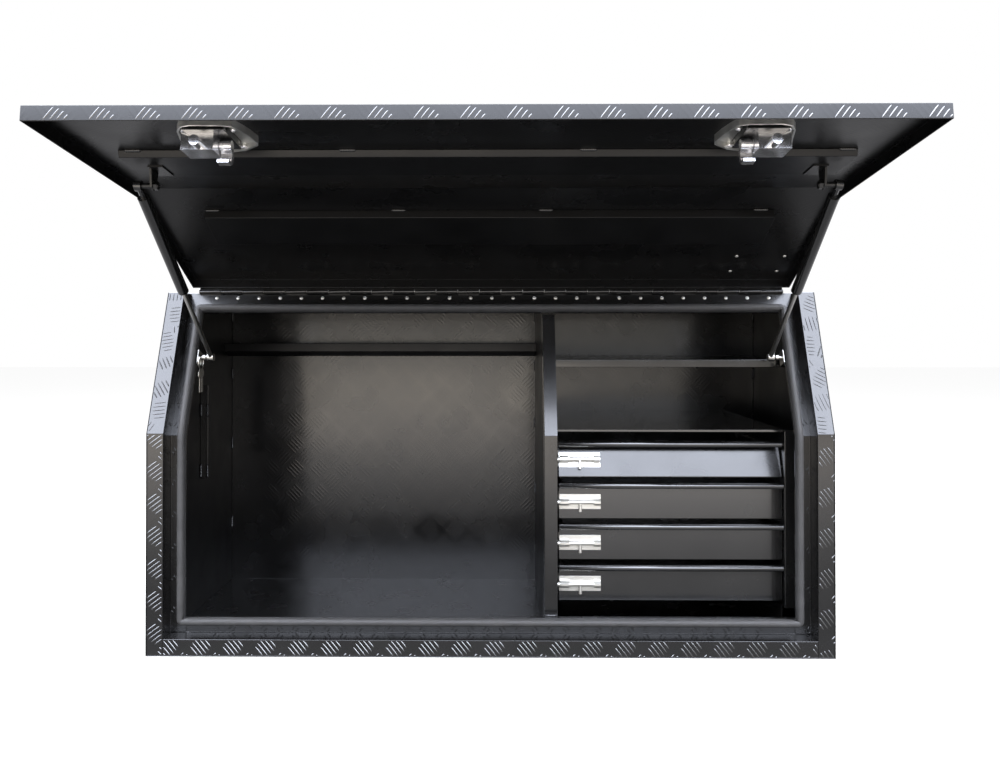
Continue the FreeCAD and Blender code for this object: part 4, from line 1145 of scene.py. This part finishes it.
    def box_panels(self) -> list[Panel]:
        """Rear, roof and sill of the box."""
        s = SIZES
        first, step, count = 53, 28.4, 35
        sill_bits = tuple(Group(first + step * k, 7, 50 if k % 2 else 130, 2, 11) for k in range(count))
        return [
            Panel("back", "base", (s.half_width, s.front + s.depth, 0), (-1, 0, 0), UP, 2 * s.half_width,
                  s.height),
            Panel("top", "base", (-s.opening_half, s.front + self.roof_start, s.height), X_WAY, Y_WAY,
                  2 * s.opening_half, s.depth - self.roof_start),
            Panel("sill", "base", (-s.opening_half, s.front, 0), X_WAY, UP, 2 * s.opening_half, s.border,
                  lattice=Lattice((56.9, 56.6), (10.0, 17.0), (129.0, 46.0)), crest=True),
            Panel("sill_floor", "base", (-self.floor_half, s.front + s.recess, s.border), X_WAY, UP,
                  2 * self.floor_half, self.floor_tall, lattice=None, placed=sill_bits),
        ]

    def lid_panels(self) -> list[Panel]:
        """Front, slope and free edge of the lid, with the locks kept clear."""
        s = SIZES
        d = s.lid_inset
        y, z = s.bend(d)
        wide = 2 * s.lid_half
        mid = s.lid_fold - s.lock_s - s.lid_foot
        locks = []
        for side in Side:
            x = s.lid_half + side.value * s.lock_x
            locks.append((x - self.lock_half, x + self.lock_half,
                          mid - self.lock_below, mid + self.lock_above))
        return [
            Panel("lid_front", "lid", (-s.lid_half, s.front + d, s.lid_foot), X_WAY, UP, wide, z - s.lid_foot,
                  True, keep_out=tuple(locks)),
            Panel("lid_slope", "lid", (-s.lid_half, y, z), X_WAY, (0, *s.slope), wide,
                  s.lid_end - self.bend_gap, True),
            Panel("lid_edge_free", "lid", (s.lid_half, s.front + d, s.lid_foot), (-1, 0, 0), Y_WAY, wide,
                  s.lid_flange, True, crest=True),
        ]

    def panels(self) -> list[Panel]:
        """All tread panels of the box and the lid."""
        found = self.box_panels()
        for side in Side:
            found += self.border_panels(side) + self.end_panels(side)
        return found + self.lid_panels()

    def build(self) -> None:
        """Bars on every panel."""
        for panel in self.panels():
            self.lay(panel)


@dataclass
class DoorSeal:
    """Rubber bulb pushed onto the upstand all round the opening."""

    bulb: float = 6.3
    corner: float = 5.0
    depth: float = 12.1
    corner_points: int = 9
    spacing: float = 12.0
    fold_round: float = 6.0
    clip: tuple = ((-3.6, 4.0), (-3.8, 15.0), (-2.6, 16.0), (2.6, 16.0), (3.8, 15.0), (3.6, 4.0))
    finish: Finish = RUBBER

    def path(self) -> np.ndarray:
        """Centre line: a rounded rectangle, in X and in distance along the front, folded over the bend."""
        s = SIZES
        d = self.depth
        x, r = s.seal_x, self.corner
        low = s.seal_z - (s.fold - d * s.shift)
        high = s.seal_u - d * s.shift
        marks = []
        for side, cy, start in ((1, low + r, -90), (1, high - r, 0), (-1, high - r, 90), (-1, low + r, 180)):
            a = np.radians(np.linspace(start, start + 90, self.corner_points))
            marks.append(np.stack([side * (x - r) + r * np.cos(a), cy + r * np.sin(a)], 1))
        loop = np.concatenate(marks)
        dense = []
        for a, b in zip(loop, np.roll(loop, -1, 0)):
            steps = max(1, int(np.linalg.norm(b - a) / self.spacing))
            dense.append(a + (b - a) * (np.arange(steps) / steps)[:, None])
        flat = np.concatenate(dense)
        ty, tz = s.slope
        y0, z0 = s.bend(d)
        along = flat[:, 1]
        soft = 0.5 * (along + np.sqrt(along ** 2 + self.fold_round ** 2))
        below = along - soft
        return np.stack([flat[:, 0], y0 + soft * ty, z0 + below + soft * tz], 1)

    def build(self) -> None:
        """Bulb with its clip over the upstand, in place of the plain loop."""
        centre = self.path()
        points, faces = tube(centre, self.bulb, 18, closed=True)
        piece = make_mesh("seal_bulb", points, faces, "base", self.finish)
        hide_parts("door_seal")
        ty, tz = SIZES.slope
        upper = (centre[:, 2] > SIZES.fold)[:, None]
        inward = np.where(upper, [0.0, tz, -ty], [0.0, 1.0, 0.0])
        tangent = np.roll(centre, -1, 0) - np.roll(centre, 1, 0)
        tangent /= np.linalg.norm(tangent, axis=1)[:, None]
        side = np.cross(tangent, inward)
        section = np.array(self.clip)
        across, deep = section[None, :, :1], section[None, :, 1:]
        points = centre[:, None] + across * side[:, None] + deep * inward[:, None]
        faces = grid_faces(len(centre), len(section), close_u=True, close_v=True)
        make_mesh("seal_clip", points, faces, "base", self.finish)


@dataclass
class Fasteners:
    """Rivets and weld beads. Places with Y are measured from the front plane."""

    hinge_count: int = 27
    hinge_start: float = -519.7
    hinge_span: float = 1046.0
    hinge_under: float = 11.5
    rivet: tuple[float, float] = (3.5, 1.5)
    blind_rivet: tuple[float, float] = (3.2, 1.6)
    bead: float = 2.6
    bead_step: float = 0.7
    ripple: float = 3.2
    ripple_share: float = 0.12
    ring: int = 10
    pan_row: float = 192.0
    slope_row: float = 59.0
    pan_stitches: tuple[float, ...] = (-498, -195, 143, 504)
    slope_stitches: tuple[float, ...] = (-466, -152, 96, 456)
    half_stitch: float = 12.0
    blind_rivets: tuple = ((450, 203), (537, 203), (450, 254), (537, 254))
    stitches: tuple = ((-583, 268, 392, 420), (-583, 268, 268, 296), (-596, 267, 392, 420),
                       (-596, 267, 268, 296), (556, 73, 226, 250), (556, 73, 70, 94))
    cross_stitches: tuple = ((38.5, 61), (135, 606))
    cross_ends: tuple[float, float] = (101, 119)
    side_x: float = 597.0
    side_stitches: tuple[float, ...] = (120, 300, 460, 590)
    side_long: float = 26.0
    post_x: float = 99.0
    post_stitches: tuple[float, ...] = (60, 200, 350, 480, 590)
    post_long: float = 24.0
    off_rear: float = 3.0
    black: Finish = BLACK
    steel: Finish = BOLT_ZINC

    def dome(self, centre: Sequence[float], axis: Sequence[float], radius: float, tall: float,
             turns: int = 16) -> Mesh:
        """Domed head: a quarter circle turned about its axis.

        Args:
            centre: middle of its foot.
            axis: the way it points.
            radius: radius of its foot.
            tall: how far it stands up.
            turns: points round it.

        Returns:
            Points and faces.
        """
        a = np.linspace(0, math.pi / 2, 5)
        profile = [(-0.3, radius)] + [(tall * math.sin(k), max(radius * math.cos(k), 0.05)) for k in a]
        return lathe(profile, centre, axis, turns)

    def hinge_rivets(self) -> None:
        """Row of rivets through the leaf on the box."""
        s = SIZES
        ty, tz = s.slope
        y, z = s.on_slope(s.hinge_u - self.hinge_under, s.recess - 1.7)
        step = self.hinge_span / (self.hinge_count - 1)
        parts = [self.dome((self.hinge_start + step * k, y, z), (0, -tz, ty), *self.rivet)
                 for k in range(self.hinge_count)]
        points, faces = join(parts)
        make_mesh("hinge_rivets_box", points, faces, "base", self.steel)

    def weld(self, start: Sequence[float], end: Sequence[float]) -> Mesh:
        """Stitch weld: a tube whose radius swells with each ripple and closes at both ends.

        Args:
            start: one end.
            end: the other end.

        Returns:
            Points and faces.
        """
        a, b = np.asarray(start, float), np.asarray(end, float)
        length = np.linalg.norm(b - a)
        count = max(8, int(length / self.bead_step))
        t = np.linspace(0, 1, count)
        path = a + (b - a) * t[:, None]
        from_end = np.minimum(t, 1 - t) * length
        swell = self.bead * np.minimum(1, np.sqrt(np.clip(from_end / self.bead, 0.02, 1)))
        swell = swell * (1 + self.ripple_share * np.cos(2 * math.pi * t * length / self.ripple))
        way = (b - a) / length
        side = np.cross(way, [0.31, 0.47, 0.83])
        side /= np.linalg.norm(side)
        other = np.cross(way, side)
        turn = np.linspace(0, 2 * math.pi, self.ring, endpoint=False)[None, :, None]
        points = path[:, None] + swell[:, None, None] * (np.cos(turn) * side + np.sin(turn) * other)
        faces = grid_faces(count, self.ring, close_v=True)[:, ::-1].tolist()
        last = (count - 1) * self.ring
        faces.append(list(range(self.ring)))
        faces.append([last + k for k in range(self.ring - 1, -1, -1)])
        return points, faces

    def base_welds(self) -> None:
        """Stitches that hold the inner parts of the box."""
        f = SIZES.front
        rear = f + SIZES.depth - self.off_rear
        near, far = self.cross_ends
        uprights = [(side.value * self.side_x, z, self.side_long)
                    for side in Side for z in self.side_stitches]
        uprights += [(self.post_x, z, self.post_long) for z in self.post_stitches]
        parts = [self.weld((x, f + y, low), (x, f + y, high)) for x, y, low, high in self.stitches]
        parts += [self.weld((near, f + y, z), (far, f + y, z)) for y, z in self.cross_stitches]
        parts += [self.weld((x, rear, z), (x, rear, z + long)) for x, z, long in uprights]
        points, faces = join(parts)
        make_mesh("weld_beads_box", points, faces, "base", self.black)

    def lid_welds(self) -> None:
        """Stitches along the stiffening pans."""
        s = SIZES
        sheet = s.lid_inset + s.skin
        y = s.front + sheet + 1
        half = self.half_stitch
        rows = [(self.pan_stitches, y, s.lid_fold - self.pan_row),
                (self.slope_stitches, *s.on_slope(self.slope_row + sheet * s.shift, sheet + 1))]
        parts = [self.weld((x - half, y, z), (x + half, y, z)) for places, y, z in rows for x in places]
        points, faces = join(parts)
        make_mesh("weld_beads_lid", s.opened(points), faces, "lid", self.black)

    def lid_rivets(self) -> None:
        """Four blind rivets on the sloped part of the lid."""
        s = SIZES
        ty, tz = s.slope
        sheet = s.lid_inset + s.skin
        parts = [self.dome((x, *s.on_slope(u + sheet * s.shift, sheet)), (0, tz, -ty), *self.blind_rivet)
                 for x, u in self.blind_rivets]
        points, faces = join(parts)
        make_mesh("lid_blind_rivets", s.opened(points), faces, "lid", self.steel)

    def build(self) -> None:
        """All fasteners and beads."""
        self.hinge_rivets()
        self.base_welds()
        self.lid_welds()
        self.lid_rivets()


@dataclass
class DrawerRolls:
    """Rounded front of the turned lip on each drawer."""

    ends: tuple[float, float] = (127.0, 533.0)
    lips: tuple = ((-159.0, 359.9), (-168.0, 285.2), (-168.0, 210.5), (-168.0, 135.8))
    half_tall: float = 4.6
    proud: float = 3.2
    points: int = 13
    finish: Finish = DRAWER

    def build(self) -> None:
        """One mound a drawer: its section is a half ellipse standing on the face of the lip."""
        count = self.points
        turn = np.linspace(0, math.pi, count)
        for number, (y, z) in enumerate(self.lips, 1):
            section = np.stack([y - self.proud * np.sin(turn), z + self.half_tall * np.cos(turn)], 1)
            points = np.array([[(x, *row) for row in section] for x in self.ends])
            faces = grid_faces(2, count)[:, ::-1].tolist()
            faces += [list(range(count)), list(range(2 * count - 1, count - 1, -1))]
            make_mesh(f"drawer_roll_{number}", points, faces, f"drawer_{number}", self.finish)


@dataclass
class Locks:
    """Screws on the clamp rings of the two locks, at places across and down from the middle of each."""

    places: tuple = ((34, 24), (-32, 24), (-27, -39))
    ring_top: float = 6.0
    screw: tuple[float, float] = (4.2, 2.6)
    finish: Finish = CHROME
    fasteners: Fasteners = field(default_factory=Fasteners)

    def build(self) -> None:
        """Three pan head screws a lock."""
        s = SIZES
        depth = s.front + s.lid_inset + s.skin + self.ring_top
        for side in Side:
            parts = []
            for across, down in self.places:
                centre = (side.value * (s.lock_x + across), depth, s.lid_fold - s.lock_s - down)
                parts.append(self.fasteners.dome(centre, Y_WAY, *self.screw))
            points, faces = join(parts)
            make_mesh("lock_screws_" + side.label, s.opened(points), faces, "lid", self.finish)


@dataclass
class Toolbox:
    """The whole object: the model's own pieces and what is added to them."""

    frame: dict

    @staticmethod
    def choose(name: str, slot: str) -> tuple[Finish, float, float]:
        """How a node is dressed.

        Args:
            name: name of the node.
            slot: its material slot in the record.

        Returns:
            Finish, edge radius in millimetres and crease angle in degrees.
        """
        finish = NODE_FINISHES.get(name, RECORD_FINISHES[slot])
        bevel, crease = (0.9, 12.0) if finish.slot == "black_coat" else (0.35, 32.0)
        if name.startswith("drawer_"):
            finish, bevel = (BLACK if name == "drawer_1" else DRAWER), 1.6
        if name.startswith("bolt") and finish.slot == "zinc":
            finish = BOLT_ZINC
        if name.startswith(("hinge", "slide", "bolt", "keys")):
            bevel, crease = 0.25, 40.0
        return finish, bevel, crease

    def dress_nodes(self) -> None:
        """Finish every node of the model by its name and its slot in the record."""
        slots = {row["node"]: row["material_slot"] for row in self.frame["record"]["subparts"]}
        for name, node in self.frame["nodes"].items():
            finish, bevel, crease = self.choose(name, slots[name])
            dress(node, finish, bevel, crease)
            LOG.info("dressed %s as %s", name, finish.name)

    def build(self) -> None:
        """Every piece in order."""
        self.dress_nodes()
        TreadPlate().build()
        DoorSeal().build()
        Fasteners().build()
        Locks().build()
        DrawerRolls().build()


def main() -> None:
    """Load the model and build the looks."""
    logging.basicConfig(level=logging.INFO, format="%(message)s")
    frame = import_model()
    bpy.context.scene.view_settings.view_transform = "Standard"
    Stage().build()
    Toolbox(frame).build()


if __name__ == "__main__":
    main()
